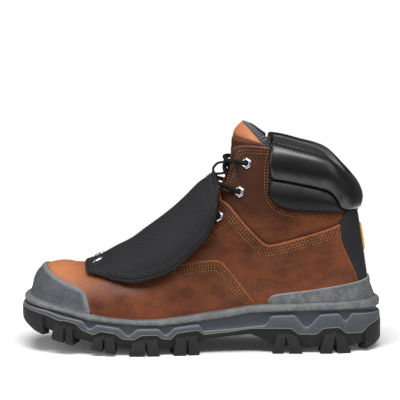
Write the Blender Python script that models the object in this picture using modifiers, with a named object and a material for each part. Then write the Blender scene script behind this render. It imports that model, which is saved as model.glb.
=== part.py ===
# Left metatarsal guard work boot, size EU 42: sole, hollow upper, overlays, padded guard, laces.
# Toe points to -X, heel to +X, the lateral side faces -Y. Tables are in millimetres.
import math

import bmesh
import bpy
from mathutils import Vector
from mathutils.bvhtree import BVHTree

MM = 0.001
TOUCH = 0.3
OVERLAY_GAP = 0.4

SOLE_LENGTH = 305.0
WALL = 2.2
SEAT_INSET = 9.0
UPPER_INSET = 9.6
INSOLE_INSET = 12.7
INSOLE_THICKNESS = 4.0
VAMP_THICKNESS = 1.8
QUARTER_THICKNESS = 1.4
PATCH_THICKNESS = 1.5
BUMPER_THICKNESS = 3.2
CUP_THICKNESS = 3.0
TOE_SWING = 8.0
MEDIAL_RISE = 4.0
EYELET_ACROSS = 10.0
EYELET_HOLE = 4.4
EYELET_HEIGHT = 1.6
EYELET_SEAT = 1.0
LACE_RADIUS = 1.8
LACE_LIFT = 1.5
LACE_OVER_EYELET = 2.0
LACE_OVER_TOP_EDGE = 0.6
LACE_SHARES = (0.0, 0.12, 0.22, 0.33, 0.5, 0.67, 0.78, 0.88, 1.0)
LACE_WIDTH_TESTS = (-5.0, -2.5, 0.0, 2.5, 5.0)
LACE_BOW = Vector((-0.6, 0.0, 0.6))
LOOP_RADIUS = 1.0
RIVET_RADIUS = 3.6
RIVET_TOP_RADIUS = 2.6
RIVET_HEIGHT = 1.6
RIVET_STRETCH = 1.45

# Plan of the sole at its widest level: x, lateral reach, medial reach.
TOE_TIP = (-SOLE_LENGTH / 2, TOE_SWING)
HEEL_TIP = (SOLE_LENGTH / 2, 0.0)
SOLE_PLAN = [
    (-150.0, -15.0, 29.0),
    (-143.0, -31.0, 41.0),
    (-132.0, -42.0, 48.0),
    (-116.0, -49.0, 53.0),
    (-96.0, -53.5, 55.5),
    (-72.0, -56.0, 56.0),
    (-48.0, -55.5, 53.5),
    (-24.0, -52.5, 47.5),
    (0.0, -47.5, 41.0),
    (24.0, -43.5, 37.0),
    (48.0, -41.5, 37.0),
    (72.0, -41.8, 39.5),
    (96.0, -42.0, 41.0),
    (118.0, -40.0, 39.5),
    (134.0, -34.0, 33.5),
    (145.0, -23.5, 23.5),
    (150.5, -12.0, 12.0),
]

# Extra places that keep the sole's ends and long runs round: x.
ROUND_STATIONS = [-152.1, -150.0, -146.0, -140.0, -110.0, 12.0, 58.0, 130.0, 146.0, 150.0, 152.1]
STATION_SPACING = 1.6

# Height of the tread's bottom along the boot: x, z. Flat under ball and heel, sprung at the toe.
TREAD_LINE = [
    (-153.0, 27.5), (-149.0, 24.2), (-140.0, 18.6), (-124.0, 12.8), (-107.0, 8.6),
    (-89.0, 5.0), (-71.0, 1.8), (-58.0, 0.0), (126.0, 0.0), (138.0, 1.8), (146.0, 4.8), (153.0, 8.5),
]
# Underside of the outsole between its lugs: x, z.
BODY_LINE = [
    (-153.0, 32.0), (-140.0, 24.4), (-124.0, 18.4), (-107.0, 14.2), (-89.0, 10.6), (-71.0, 7.4),
    (-54.0, 5.6), (-8.0, 5.6), (-2.4, 9.1), (4.2, 12.4), (24.0, 14.5), (41.5, 16.0),
    (52.0, 11.8), (59.0, 6.4), (64.0, 5.6), (126.0, 5.6), (138.0, 7.4), (153.0, 14.0),
]
# Parting line between outsole and midsole: x, z. It dips between the side lugs.
PARTING_LINE = [
    (-153.0, 36.6), (-131.0, 33.6), (-118.0, 28.7), (-115.3, 29.5), (-104.6, 27.2),
    (-100.2, 22.2), (-90.1, 18.1), (-84.3, 21.1), (-71.4, 19.2), (-66.1, 14.8), (-55.6, 14.1),
    (-50.5, 17.6), (-36.2, 17.8), (-32.9, 14.6), (-25.0, 14.0), (-20.7, 18.9), (-2.7, 21.0),
    (1.6, 17.1), (24.0, 18.9), (41.0, 21.4), (75.4, 21.4), (81.3, 16.5), (96.8, 16.5),
    (102.0, 21.4), (115.5, 22.1), (121.6, 17.0), (135.8, 16.7), (141.0, 22.1), (153.0, 25.9),
]
# Top of the midsole's proud ribs: x, z.
RIB_LINE = [
    (-153.0, 38.2), (-131.0, 36.4), (-118.0, 32.5), (-101.0, 29.1), (-98.6, 28.0), (-95.8, 23.4),
    (-92.4, 21.9), (-88.0, 25.9), (-68.0, 23.1), (-62.8, 17.3), (-60.0, 16.7), (-53.6, 22.1),
    (-35.6, 22.4), (-30.8, 17.3), (-28.2, 17.2), (-22.4, 22.9), (-1.6, 25.0), (1.6, 19.3),
    (24.0, 20.7), (52.0, 23.2), (55.0, 24.6), (58.2, 31.1), (78.0, 32.0), (86.5, 22.0),
    (89.8, 22.0), (99.4, 32.2), (115.5, 33.2), (120.0, 27.2), (122.6, 27.1), (126.4, 33.0),
    (153.0, 31.2),
]
# Lower and upper edge of the speckled lip that holds the upper: x, z.
LIP_BOTTOM = [
    (-153.0, 41.4), (-118.0, 35.9), (-94.0, 29.6), (-70.0, 26.9), (-43.0, 25.2), (-33.0, 25.1),
    (-6.0, 27.5), (24.0, 30.9), (41.0, 34.2), (67.0, 35.4), (94.0, 36.2), (125.0, 36.8), (153.0, 36.4),
]
LIP_TOP = [
    (-153.0, 46.5), (-134.0, 43.2), (-118.0, 39.3), (-94.0, 34.6), (-79.0, 31.7), (-59.0, 29.9),
    (-36.0, 30.0), (-12.0, 32.4), (18.0, 36.4), (41.0, 39.9), (56.0, 41.0), (99.0, 43.0),
    (125.0, 43.5), (153.0, 44.4),
]
# Seat of the upper and the insole inside the lip: x, z.
SEAT_LINE = [
    (-153.0, 38.8), (-140.0, 36.4), (-120.0, 31.5), (-100.0, 26.5), (-60.0, 21.5), (-30.0, 21.5),
    (0.0, 24.5), (30.0, 28.5), (60.0, 31.5), (100.0, 33.0), (153.0, 34.0),
]
# Side lugs, both sides: first x, last x, slot's centre x, slot's half width, proud reach.
SIDE_LUGS = [
    (-149.5, -136.0, -142.8, 0.9, 0.8),
    (-125.5, -105.5, -115.5, 1.2, 1.8),
    (-92.0, -70.5, -81.0, 1.2, 2.6),
    (-57.5, -34.0, -46.0, 1.3, 2.8),
    (-23.0, -1.5, -12.0, 1.3, 2.8),
    (58.0, 83.5, 69.6, 2.2, 2.4),
    (98.0, 124.5, 113.5, 1.8, 2.4),
    (134.5, 148.0, 141.5, 0.9, 0.8),
]
LUG_DEPTH_IN = 24.0
# Centre lugs: x, y, radius.
CENTRE_LUGS = [
    (-118.0, 4.0, 11.0), (-97.0, 3.0, 12.0), (-64.0, 1.5, 13.0), (-29.0, -1.5, 12.0),
    (91.0, -0.5, 10.0), (116.0, 0.0, 10.0),
]

# Ribs of the last: each runs from the feather edge to the ridge, the throat or the collar.
# base_x, side bulge and height of the first handle, second handle x, y, z, top x, y, z.
LAST_RIBS = [
    (-152.5, -142.0, 0.0, 60.5, -136.0, 0.0, 70.6, -117.0, 0.0, 70.6),
    (-144.0, -134.5, 0.8, 60.5, -127.0, 21.0, 71.2, -109.0, 0.0, 70.2),
    (-124.0, -118.5, 0.8, 60.5, -111.0, 27.0, 70.0, -99.0, 0.0, 67.8),
    (-101.0, -98.0, 0.8, 60.0, -92.0, 26.0, 68.6, -84.0, 0.0, 70.0),
    (-80.0, -77.0, 0.5, 60.0, -72.0, 25.0, 74.0, -67.0, 0.0, 77.4),
    (-58.0, -55.0, 0.0, 61.5, -51.0, 24.0, 84.5, -49.0, 0.0, 87.4),
    (-36.0, -33.0, -0.5, 65.5, -30.0, 24.0, 98.0, -30.0, 0.0, 100.0),
    (-16.0, -13.0, -0.5, 69.0, -8.0, 27.0, 103.5, -12.0, 12.0, 107.8),
    (6.0, 6.0, 1.0, 74.0, 12.0, 31.0, 113.0, 6.5, 14.5, 121.8),
    (26.0, 24.0, 2.0, 80.0, 28.0, 35.0, 127.0, 19.5, 16.0, 141.5),
    (42.0, 38.0, 2.5, 84.0, 38.5, 37.0, 136.0, 24.6, 17.0, 158.0),
    (54.0, 50.0, 2.5, 88.0, 43.0, 38.0, 142.0, 29.0, 20.0, 171.5),
    (72.0, 68.0, 2.0, 88.0, 63.0, 37.0, 138.0, 59.0, 33.5, 171.0),
    (92.0, 88.0, 1.5, 86.0, 85.0, 36.0, 134.0, 84.0, 36.5, 165.5),
    (112.0, 109.0, 1.0, 84.0, 106.0, 34.5, 128.0, 105.0, 33.5, 159.5),
    (132.0, 127.0, 0.5, 78.0, 122.5, 26.0, 116.0, 119.5, 23.0, 146.5),
    (147.0, 136.5, 0.0, 70.0, 132.5, 14.0, 104.0, 125.5, 11.5, 140.5),
    (152.5, 138.4, 0.0, 64.0, 135.5, 0.0, 96.0, 126.5, 0.0, 139.5),
]
LAST_RIB = len(LAST_RIBS) - 1
THROAT_RIB = 6
COLLAR_RIB = 11
RIB_PLACES = [
    0, 0.5, 1, 1.5, 2, 2.5, 3, 4, 5, 6, 6.5, 7, 8, 9, 10, 11, 11.5, 12, 13, 14, 14.5, 15, 15.5, 16, 16.5, 17,
]
RIB_ROWS = [-1.0, 0.0, 0.12, 0.27, 0.44, 0.62, 0.81, 1.0]

# Side-view edges of the overlays: x, z.
BUMPER_EDGE = [
    (-134.0, 76.0), (-133.4, 69.7), (-126.2, 64.1), (-116.4, 59.0), (-100.3, 53.3), (-96.3, 49.9),
    (-94.7, 43.7), (-93.1, 38.2), (-89.8, 33.0),
]
VAMP_EDGE = [
    (-40.0, 112.0), (-36.0, 86.0), (-31.0, 75.6), (-25.3, 73.1), (-2.9, 77.2), (12.5, 78.4),
    (17.0, 76.8), (19.7, 74.5), (31.6, 59.5), (44.0, 43.1), (46.5, 38.0),
]
QUARTER_EDGE = [
    (16.4, 150.0), (16.4, 127.0), (19.8, 126.3), (23.7, 123.6), (34.1, 110.6), (48.5, 95.4),
    (54.4, 90.8), (58.9, 90.6), (77.3, 95.4), (96.5, 100.9), (115.0, 107.4),
]
PATCH_EDGE = [
    (119.9, 116.9), (116.0, 110.1), (115.0, 100.6), (118.0, 88.8), (124.0, 76.8), (129.0, 64.8),
    (130.7, 56.0),
]
CUP_TOP = [
    (54.5, 40.0), (56.0, 44.0), (59.0, 48.1), (63.0, 49.2), (78.0, 51.0), (94.0, 53.0),
    (131.0, 58.9), (160.0, 65.0),
]
CUFF_BOTTOM = [
    (56.0, 133.1), (58.5, 131.0), (61.8, 125.5), (69.5, 120.6), (86.8, 118.4), (104.1, 117.9), (140.0, 118.2),
]
CUFF_SEAM = [
    (56.0, 146.6), (76.9, 142.9), (99.8, 137.5), (106.7, 134.2), (110.5, 127.5), (115.0, 118.4),
    (140.0, 118.4),
]
CUFF_AXIS_X = 88.0
CUFF_FRONT_X = 57.5
CUFF_SECTIONS = 22
CUFF_RISE = 5.2
CUFF_SWELL = 5.6

# Tongue sections: centre x, z, lean of the wings in degrees, half width, depth, thickness.
TONGUE_SECTIONS = [
    (-33.0, 92.5, 62.0, 16.0, 7.0, 3.0),
    (-12.0, 107.2, 57.0, 21.0, 11.5, 4.5),
    (6.5, 121.6, 50.0, 23.0, 15.0, 6.0),
    (18.8, 141.0, 30.0, 25.0, 18.0, 6.5),
    (24.3, 157.0, 14.0, 26.0, 21.0, 7.0),
    (25.2, 169.0, 4.0, 26.5, 23.0, 7.5),
    (25.6, 178.0, 6.0, 27.0, 25.0, 7.5),
    (28.5, 186.0, 14.0, 27.0, 24.5, 6.5),
    (34.2, 191.8, 22.0, 25.0, 20.0, 4.0),
]
# Guard ribs from its ridge to its lower or rear edge: ridge x, z, edge x, y, z, thickness.
GUARD_RIBS = [
    (-98.8, 72.2, -95.5, 37.0, 67.6, 1.6),
    (-91.5, 75.0, -86.0, 41.0, 66.0, 2.4),
    (-82.5, 79.6, -75.5, 45.0, 63.2, 4.0),
    (-72.8, 85.2, -66.5, 48.0, 61.8, 5.0),
    (-60.0, 91.8, -56.0, 50.0, 61.6, 5.2),
    (-48.0, 100.8, -42.7, 51.5, 64.8, 5.2),
    (-35.0, 110.4, -28.6, 51.0, 69.9, 4.8),
    (-24.0, 119.2, -17.4, 49.5, 77.3, 4.4),
    (-14.5, 128.0, -2.7, 48.0, 92.0, 4.4),
    (-6.5, 136.2, 4.6, 47.5, 100.8, 4.4),
    (1.0, 143.4, 11.5, 44.5, 115.4, 4.2),
    (9.2, 149.2, 13.6, 40.0, 126.9, 4.0),
]
GUARD_THICKNESS = 5.2
GUARD_COLUMNS = 12

# Eyelets of one side, top to bottom, in side view: x, z, seat above the upper.
EYELETS = [
    (37.8, 158.6, 0.0),
    (31.9, 134.7, 0.0),
    (15.0, 113.6, QUARTER_THICKNESS + OVERLAY_GAP),
    (-4.0, 97.5, QUARTER_THICKNESS + OVERLAY_GAP),
]
RIVET_SPOT = (-87.5, 17.0)

FINISHES = {
    "outsole_rubber": ((0.040, 0.041, 0.043), 0.75, 0.0),
    "midsole_grey": ((0.150, 0.160, 0.175), 0.70, 0.0),
    "brown_leather": ((0.200, 0.085, 0.042), 0.45, 0.0),
    "black_leather": ((0.020, 0.020, 0.021), 0.40, 0.0),
    "guard_grey": ((0.045, 0.045, 0.048), 0.60, 0.0),
    "dark_weave": ((0.030, 0.030, 0.032), 0.80, 0.0),
    "bright_metal": ((0.620, 0.620, 0.610), 0.30, 1.0),
    "lace_black": ((0.015, 0.015, 0.015), 0.85, 0.0),
    "footbed_grey": ((0.070, 0.070, 0.075), 0.90, 0.0),
}


def clear_scene():
    for obj in list(bpy.data.objects):
        bpy.data.objects.remove(obj, do_unlink=True)


def make_collection(name):
    group = bpy.data.collections.new(name)
    bpy.context.scene.collection.children.link(group)
    return group


def make_material(name):
    colour, roughness, metallic = FINISHES[name]
    material = bpy.data.materials.new(name)
    material.use_nodes = True
    shader = material.node_tree.nodes["Principled BSDF"]
    shader.inputs["Base Color"].default_value = (*colour, 1.0)
    shader.inputs["Roughness"].default_value = roughness
    shader.inputs["Metallic"].default_value = metallic
    return material


def lerp(a, b, share):
    return a + (b - a) * share


def smooth_step(value):
    value = min(1.0, max(0.0, value))
    return value * value * (3.0 - 2.0 * value)


def line_at(table, x):
    # Height of a polyline of x, z rows at x.
    if x <= table[0][0]:
        return table[0][1]
    for (x0, z0), (x1, z1) in zip(table, table[1:]):
        if x <= x1:
            return lerp(z0, z1, (x - x0) / (x1 - x0))
    return table[-1][1]


def row_at(rows, position):
    # Catmull-Rom value of a table of equal rows at a fractional row number.
    last = len(rows) - 1
    index = min(int(position), last - 1)
    share = position - index
    before = rows[max(index - 1, 0)]
    start = rows[index]
    end = rows[index + 1]
    after = rows[min(index + 2, last)]
    values = []
    for p0, p1, p2, p3 in zip(before, start, end, after):
        slope = (p2 - p0) * share
        bend = (2.0 * p0 - 5.0 * p1 + 4.0 * p2 - p3) * share ** 2
        twist = (3.0 * p1 - p0 - 3.0 * p2 + p3) * share ** 3
        values.append(0.5 * (2.0 * p1 + slope + bend + twist))
    return values


def bezier(p0, p1, p2, p3, t):
    s = 1.0 - t
    return p0 * s ** 3 + p1 * (3.0 * s * s * t) + p2 * (3.0 * s * t * t) + p3 * t ** 3


def swing(x):
    # The last's centre line leans to the medial side towards the toe.
    return TOE_SWING * smooth_step((-x - 5.0) / 140.0)


class SoleRail:
    # One side of the sole's plan from toe tip to heel tip, with inset copies.
    SAMPLES = 12

    def __init__(self, side):
        column = 1 if side < 0 else 2
        other = 3 - column
        plan = [(SOLE_PLAN[0][0], SOLE_PLAN[0][other]), TOE_TIP]
        plan += [(row[0], row[column]) for row in SOLE_PLAN]
        plan += [HEEL_TIP, (SOLE_PLAN[-1][0], SOLE_PLAN[-1][other])]
        self.side = side
        self.points = []
        for index in range(1, len(plan) - 2):
            for step in range(self.SAMPLES):
                self.points.append(Vector(row_at(plan, index + step / self.SAMPLES)))
        self.points.append(Vector(HEEL_TIP))

    def spot(self, x, inset):
        # Point of the plan at x, moved inwards along the plan's own normal.
        last = len(self.points) - 1
        index = 0
        while index < last - 1 and self.points[index + 1].x < x:
            index += 1
        start = self.points[index]
        end = self.points[index + 1]
        share = min(1.0, max(0.0, (x - start.x) / max(end.x - start.x, 1e-6)))
        ahead = self.points[min(index + 2, last)] - start
        behind = end - self.points[max(index - 1, 0)]
        along = behind.normalized().lerp(ahead.normalized(), share).normalized()
        if x <= TOE_TIP[0]:
            along = Vector((0.0, self.side))
        if x >= HEEL_TIP[0]:
            along = Vector((0.0, -self.side))
        inward = Vector((along.y, -along.x)) * self.side
        return start.lerp(end, share) + inward * inset


RAILS = {-1: SoleRail(-1), 1: SoleRail(1)}


def sole_stations(*tables):
    # Every corner of the stepped lines, and enough places between for round ends.
    stations = []
    for x in [x for table in tables for x, z in table] + ROUND_STATIONS:
        inside = TOE_TIP[0] + 0.2 < x < HEEL_TIP[0] - 0.2
        if inside and all(abs(x - other) > STATION_SPACING for other in stations):
            stations.append(x)
    return sorted(stations)


def ring(stations, inset, height):
    # Closed ring round the sole: toe tip, lateral side, heel tip, medial side.
    toe = RAILS[-1].spot(TOE_TIP[0], inset)
    heel = RAILS[-1].spot(HEEL_TIP[0], inset)
    lateral = [RAILS[-1].spot(x, inset) for x in stations]
    medial = [RAILS[1].spot(x, inset) for x in stations]
    loop = [toe, *lateral, heel, *reversed(medial)]
    return [(p.x, p.y, height(p.x)) for p in loop]


def add_object(name, bm, material, group, smooth=True):
    bmesh.ops.recalc_face_normals(bm, faces=bm.faces[:])
    return keep_object(name, bm, material, group, smooth)


def keep_object(name, bm, material, group, smooth=True):
    # Same as add_object for a mesh whose faces already point the right way.
    mesh = bpy.data.meshes.new(name)
    bm.to_mesh(mesh)
    bm.free()
    if material:
        mesh.materials.append(material)
    if smooth:
        mesh.shade_smooth()
        mesh.set_sharp_from_angle(angle=math.radians(35.0))
    obj = bpy.data.objects.new(name, mesh)
    group.objects.link(obj)
    return obj


def stack_rings(rings):
    # Body from rings of equal count, closed by strips between its two sides.
    bm = bmesh.new()
    loops = [[bm.verts.new(Vector(p) * MM) for p in points] for points in rings]
    count = len(loops[0])
    for lower, upper in zip(loops, loops[1:]):
        for i in range(count):
            j = (i + 1) % count
            bm.faces.new((lower[i], lower[j], upper[j], upper[i]))
    half = count // 2
    for loop in (loops[0], loops[-1]):
        bm.faces.new((loop[0], loop[1], loop[-1]))
        bm.faces.new((loop[half], loop[half - 1], loop[half + 1]))
        for i in range(1, half - 1):
            bm.faces.new((loop[i], loop[i + 1], loop[count - i - 1], loop[count - i]))
    return bm


def loft(sections, cap_parts=None):
    # Body through closed sections of equal count, each end closed by one flat cap or by its parts.
    bm = bmesh.new()
    loops = [[bm.verts.new(Vector(p) * MM) for p in points] for points in sections]
    count = len(loops[0])
    for first, second in zip(loops, loops[1:]):
        for i in range(count):
            j = (i + 1) % count
            bm.faces.new((first[i], first[j], second[j], second[i]))
    caps = []
    for part in cap_parts or [range(count)]:
        caps.append(bm.faces.new([loops[0][i] for i in part]))
        caps.append(bm.faces.new([loops[-1][i] for i in part]))
    bmesh.ops.triangulate(bm, faces=caps, ngon_method="EAR_CLIP")
    return bm


def prism(name, outline, y0, y1, group):
    # Side-view outline in x, z, drawn out across the boot as a cutter.
    bm = bmesh.new()
    face = bm.faces.new([bm.verts.new(Vector((x, y0, z)) * MM) for x, z in outline])
    grown = bmesh.ops.extrude_face_region(bm, geom=[face])
    moved = [item for item in grown["geom"] if isinstance(item, bmesh.types.BMVert)]
    bmesh.ops.translate(bm, verts=moved, vec=Vector((0.0, y1 - y0, 0.0)) * MM)
    cutter = add_object(name, bm, None, group, smooth=False)
    hide_cutter(cutter)
    return cutter


def hide_cutter(cutter):
    cutter.hide_render = True
    cutter.display_type = "WIRE"


def boolean(obj, cutter, operation):
    modifier = obj.modifiers.new(cutter.name, "BOOLEAN")
    modifier.operation = operation
    modifier.solver = "EXACT"
    modifier.object = cutter


def solidify(obj, thickness, outward):
    modifier = obj.modifiers.new("wall", "SOLIDIFY")
    modifier.thickness = thickness * MM
    modifier.offset = 1.0 if outward else -1.0
    modifier.use_even_offset = True
    modifier.use_quality_normals = True
    return modifier


def build_outsole(group, cutters, material):
    stations = sole_stations(PARTING_LINE)
    top = ring(stations, 0.0, lambda x: line_at(PARTING_LINE, x) - TOUCH)
    bottom = ring(stations, 2.6, lambda x: line_at(BODY_LINE, x))
    body = add_object("outsole", stack_rings([bottom, top]), material, group)
    lugs = add_object("outsole_lugs", lug_mesh(), None, cutters, smooth=False)
    hide_cutter(lugs)
    boolean(body, lugs, "UNION")


def lug_mesh():
    bm = bmesh.new()
    for side in (-1, 1):
        for row in SIDE_LUGS:
            add_side_lug(bm, RAILS[side], *row)
    for x, y, radius in CENTRE_LUGS:
        add_centre_lug(bm, x, y, radius)
    return bm


def add_side_lug(bm, rail, first, last, slot, slot_half, proud):
    # A lug that widens downwards, with one slot in its outer wall.
    middle = (first + last) / 2.0
    slope = 0.35
    places = [
        (first, 0.0), (slot - slot_half - 0.4, 0.0), (slot - slot_half, 1.0),
        (slot + slot_half, 1.0), (slot + slot_half + 0.4, 0.0), (last, 0.0),
    ]
    loops = []
    for x, raised in places:
        upper_x = lerp(x, middle, slope * abs(x - middle) / (last - first))
        body = line_at(BODY_LINE, upper_x)
        parting = line_at(PARTING_LINE, upper_x)
        ground = line_at(TREAD_LINE, x)
        crown = lerp(body, parting, 0.72)
        foot = lerp(ground, body, 0.85 * raised)
        outer_top = rail.spot(upper_x, 1.2)
        outer_low = rail.spot(x, -proud)
        inner_low = rail.spot(x, LUG_DEPTH_IN - 3.0)
        inner_top = rail.spot(upper_x, LUG_DEPTH_IN)
        loops.append([
            (outer_top.x, outer_top.y, crown),
            (outer_low.x, outer_low.y, lerp(foot, crown, 0.18)),
            (outer_low.x, outer_low.y, foot),
            (inner_low.x, inner_low.y, foot),
            (inner_top.x, inner_top.y, body + 1.5),
        ])
    verts = [[bm.verts.new(Vector(p) * MM) for p in points] for points in loops]
    count = len(verts[0])
    for one, two in zip(verts, verts[1:]):
        for i in range(count):
            j = (i + 1) % count
            bm.faces.new((one[i], one[j], two[j], two[i]))
    caps = [bm.faces.new(verts[0]), bm.faces.new(verts[-1])]
    bmesh.ops.triangulate(bm, faces=caps, ngon_method="EAR_CLIP")


def add_centre_lug(bm, x, y, radius):
    ground = line_at(TREAD_LINE, x)
    body = line_at(BODY_LINE, x)
    made = bmesh.ops.create_cone(
        bm, cap_ends=True, segments=6, radius1=radius * MM, radius2=(radius - 1.5) * MM, depth=1.0,
    )
    for vert in made["verts"]:
        top = vert.co.z > 0.0
        px = vert.co.x / MM + x
        vert.co.x = px * MM
        vert.co.y += y * MM
        vert.co.z = (body + 2.0 if top else ground) * MM
        if not top:
            vert.co.z = line_at(TREAD_LINE, px) * MM


def build_midsole(group, material):
    stations = sole_stations(PARTING_LINE, RIB_LINE)
    levels = [
        (0.2, lambda x: line_at(PARTING_LINE, x)),
        (0.6, lambda x: line_at(RIB_LINE, x)),
        (3.2, lambda x: line_at(RIB_LINE, x) + 0.8),
        (3.2, lambda x: line_at(LIP_BOTTOM, x) - 0.7),
        (1.8, lambda x: line_at(LIP_BOTTOM, x)),
        (2.2, lambda x: line_at(LIP_TOP, x) - 2.2),
        (4.8, lambda x: line_at(LIP_TOP, x) - 0.5),
        (SEAT_INSET, lambda x: line_at(LIP_TOP, x)),
        (SEAT_INSET, lambda x: line_at(SEAT_LINE, x)),
    ]
    rings = [ring(stations, inset, height) for inset, height in levels]
    return add_object("midsole", stack_rings(rings), material, group)


def build_insole(group, material):
    stations = sole_stations(SEAT_LINE)
    rings = [
        ring(stations, INSOLE_INSET, lambda x: line_at(SEAT_LINE, x) + TOUCH),
        ring(stations, INSOLE_INSET, lambda x: line_at(SEAT_LINE, x) + TOUCH + INSOLE_THICKNESS),
    ]
    return add_object("insole", stack_rings(rings), material, group)


def rib_point(side, position, t):
    # A point of the last: position counts ribs from the toe, t runs from feather edge to top.
    row = row_at(LAST_RIBS, position)
    base_x, x1, bulge, z1, x2, y2, z2, x3, y3, z3 = row
    base_x = min(HEEL_TIP[0], max(TOE_TIP[0], base_x))
    spot = RAILS[side].spot(base_x, UPPER_INSET)
    lip = line_at(LIP_TOP, spot.x)
    if t < 0.0:
        return Vector((spot.x, spot.y, lerp(lip, line_at(SEAT_LINE, spot.x) + 2.0 * TOUCH, -t)))
    on_centre = position in (0.0, float(LAST_RIB))
    rise = MEDIAL_RISE * smooth_step((x3 - 10.0) / 45.0) if side > 0 else 0.0
    rise *= smooth_step((LAST_RIB - position) / 3.0)
    first_y = spot.y + (0.0 if on_centre else side * bulge)
    second_y = swing(x2) + (0.0 if on_centre else side * y2)
    top_y = swing(x3) + (0.0 if position <= THROAT_RIB or on_centre else side * max(y3, 0.0))
    start = Vector((spot.x, spot.y, lip))
    first = Vector((x1, first_y, z1))
    second = Vector((x2, second_y, z2 + 0.5 * rise))
    top = Vector((x3, top_y, z3 + rise))
    return bezier(start, first, second, top, t)


def last_surface(offset, rows=RIB_ROWS):
    # The open outer surface of the upper, moved outwards by an offset.
    bm = bmesh.new()
    for side in (-1, 1):
        grid = []
        for position in RIB_PLACES:
            grid.append([bm.verts.new(rib_point(side, float(position), t) * MM) for t in rows])
        for one, two in zip(grid, grid[1:]):
            for row in range(len(rows) - 1):
                corners = [one[row], two[row], two[row + 1], one[row + 1]]
                if side > 0:
                    corners.reverse()
                bm.faces.new(corners)
    bmesh.ops.remove_doubles(bm, verts=bm.verts[:], dist=0.00005)
    bmesh.ops.triangulate(bm, faces=bm.faces[:])
    bm.normal_update()
    for vert in bm.verts:
        vert.co += vert.normal * offset * MM
    bm.normal_update()
    return bm


def build_upper(group, material, holes):
    upper = keep_object("upper", last_surface(0.0), material, group)
    solidify(upper, WALL, outward=False)
    boolean(upper, holes, "DIFFERENCE")
    return upper


def build_overlay(name, outline, thickness, material, group, cutters, reach=(-90.0, 90.0)):
    # A shell on the upper's own form, cut out by a side-view outline.
    shell = keep_object(name, last_surface(OVERLAY_GAP, RIB_ROWS[1:]), material, group)
    solidify(shell, thickness, outward=True)
    boolean(shell, prism(name + "_outline", outline, *reach, cutters), "INTERSECT")
    return shell


def lip_edge(x_from, x_to, steps, lift=0.4):
    xs = [lerp(x_from, x_to, i / steps) for i in range(steps + 1)]
    return [(x, line_at(LIP_TOP, x) + lift) for x in xs]


def shifted(table, dx, dz=0.0):
    return [(x + dx, z + dz) for x, z in table]


def build_overlays(group, cutters, materials, holes):
    bumper = [(-165.0, 76.0)] + BUMPER_EDGE[:-1] + lip_edge(-91.5, -165.0, 8)
    build_overlay("toe_bumper", bumper, BUMPER_THICKNESS, materials["midsole_grey"], group, cutters)
    gap = 2.0 * TOUCH
    vamp = shifted(BUMPER_EDGE[:-1], gap, 0.0) + lip_edge(-90.5, 45.0, 8)
    vamp += list(reversed(VAMP_EDGE[:-1])) + [(-60.0, 112.0)]
    leather = materials["brown_leather"]
    build_overlay("vamp_panel", vamp, VAMP_THICKNESS, leather, group, cutters)
    front = shifted(list(reversed(VAMP_EDGE[:-1])), gap, gap)
    front[-1] = (front[-1][0] - 2.0 * gap, 150.0)
    rear = shifted(PATCH_EDGE, -gap)
    rear[0] = (rear[0][0] - 3.0, 109.3)
    cup = [(x, z + gap) for x, z in CUP_TOP if x < rear[-1][0]]
    cup[0] = (cup[0][0] - gap, line_at(LIP_TOP, cup[0][0]) + 0.4)
    quarter = front + QUARTER_EDGE + rear[1:-1] + [(rear[-1][0], line_at(CUP_TOP, rear[-1][0]) + gap)]
    quarter += list(reversed(cup)) + lip_edge(cup[0][0] - 1.0, 47.0, 2)
    for word, reach in (("lateral", (-90.0, -TOUCH)), ("medial", (TOUCH, 90.0))):
        name = "quarter_panel_" + word
        panel = build_overlay(name, quarter, QUARTER_THICKNESS, leather, group, cutters, reach)
        boolean(panel, holes, "DIFFERENCE")
    patch = PATCH_EDGE[:-1] + [(PATCH_EDGE[-1][0], line_at(CUP_TOP, PATCH_EDGE[-1][0]) + gap)]
    patch += [(160.0, line_at(CUP_TOP, 160.0) + gap), (160.0, 116.9)]
    build_overlay("heel_patch", patch, PATCH_THICKNESS, materials["dark_weave"], group, cutters)
    cup_outline = CUP_TOP[1:] + lip_edge(160.0, 54.5, 6)
    build_overlay("heel_cup", cup_outline, CUP_THICKNESS, materials["midsole_grey"], group, cutters)


def last_tree():
    bm = last_surface(0.0)
    tree = BVHTree.FromBMesh(bm)
    bm.free()
    return tree


def side_spot(tree, side, x, z):
    # Point and outward normal of the last where a line across the boot meets it at x, z.
    start = Vector((x, side * 120.0, z)) * MM
    place, normal, index, distance = tree.ray_cast(start, Vector((0.0, -side, 0.0)))
    if normal.y * side < 0.0:
        normal = -normal
    return place / MM, normal


def collar_spot(tree, angle, z):
    # Distance of the last from the shaft's axis at a height, looking out at an angle.
    axis = Vector((CUFF_AXIS_X, 0.0, z)) * MM
    out = Vector((math.cos(angle), math.sin(angle), 0.0))
    place, normal, index, distance = tree.ray_cast(axis, out)
    return distance / MM, 1.0 / max(0.55, abs(normal.dot(out)))


def collar_top(angle):
    # Height of the upper's collar edge at an angle round the shaft's axis.
    side = -1 if angle < 0.0 else 1
    edge = []
    for step in range((LAST_RIB - COLLAR_RIB) * 4 + 1):
        point = rib_point(side, COLLAR_RIB + step / 4.0, 1.0)
        edge.append((abs(math.atan2(point.y, point.x - CUFF_AXIS_X)), point.z))
    edge.sort()
    return line_at(edge, abs(angle))


def build_cuff(group, material, tree):
    front = math.atan2(33.5, CUFF_FRONT_X - CUFF_AXIS_X)
    sections = []
    for step in range(CUFF_SECTIONS + 1):
        angle = lerp(-front, front, step / CUFF_SECTIONS)
        sections.append(cuff_section(tree, angle, front))
    outer_pad = (0, 1, 2, 3, 4, 5, 6, 7, 8, 13, 14)
    cap_parts = [outer_pad, (8, 9, 10, 12, 13), (10, 11, 12)]
    return add_object("collar_cuff", loft(sections, cap_parts), material, group)


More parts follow.
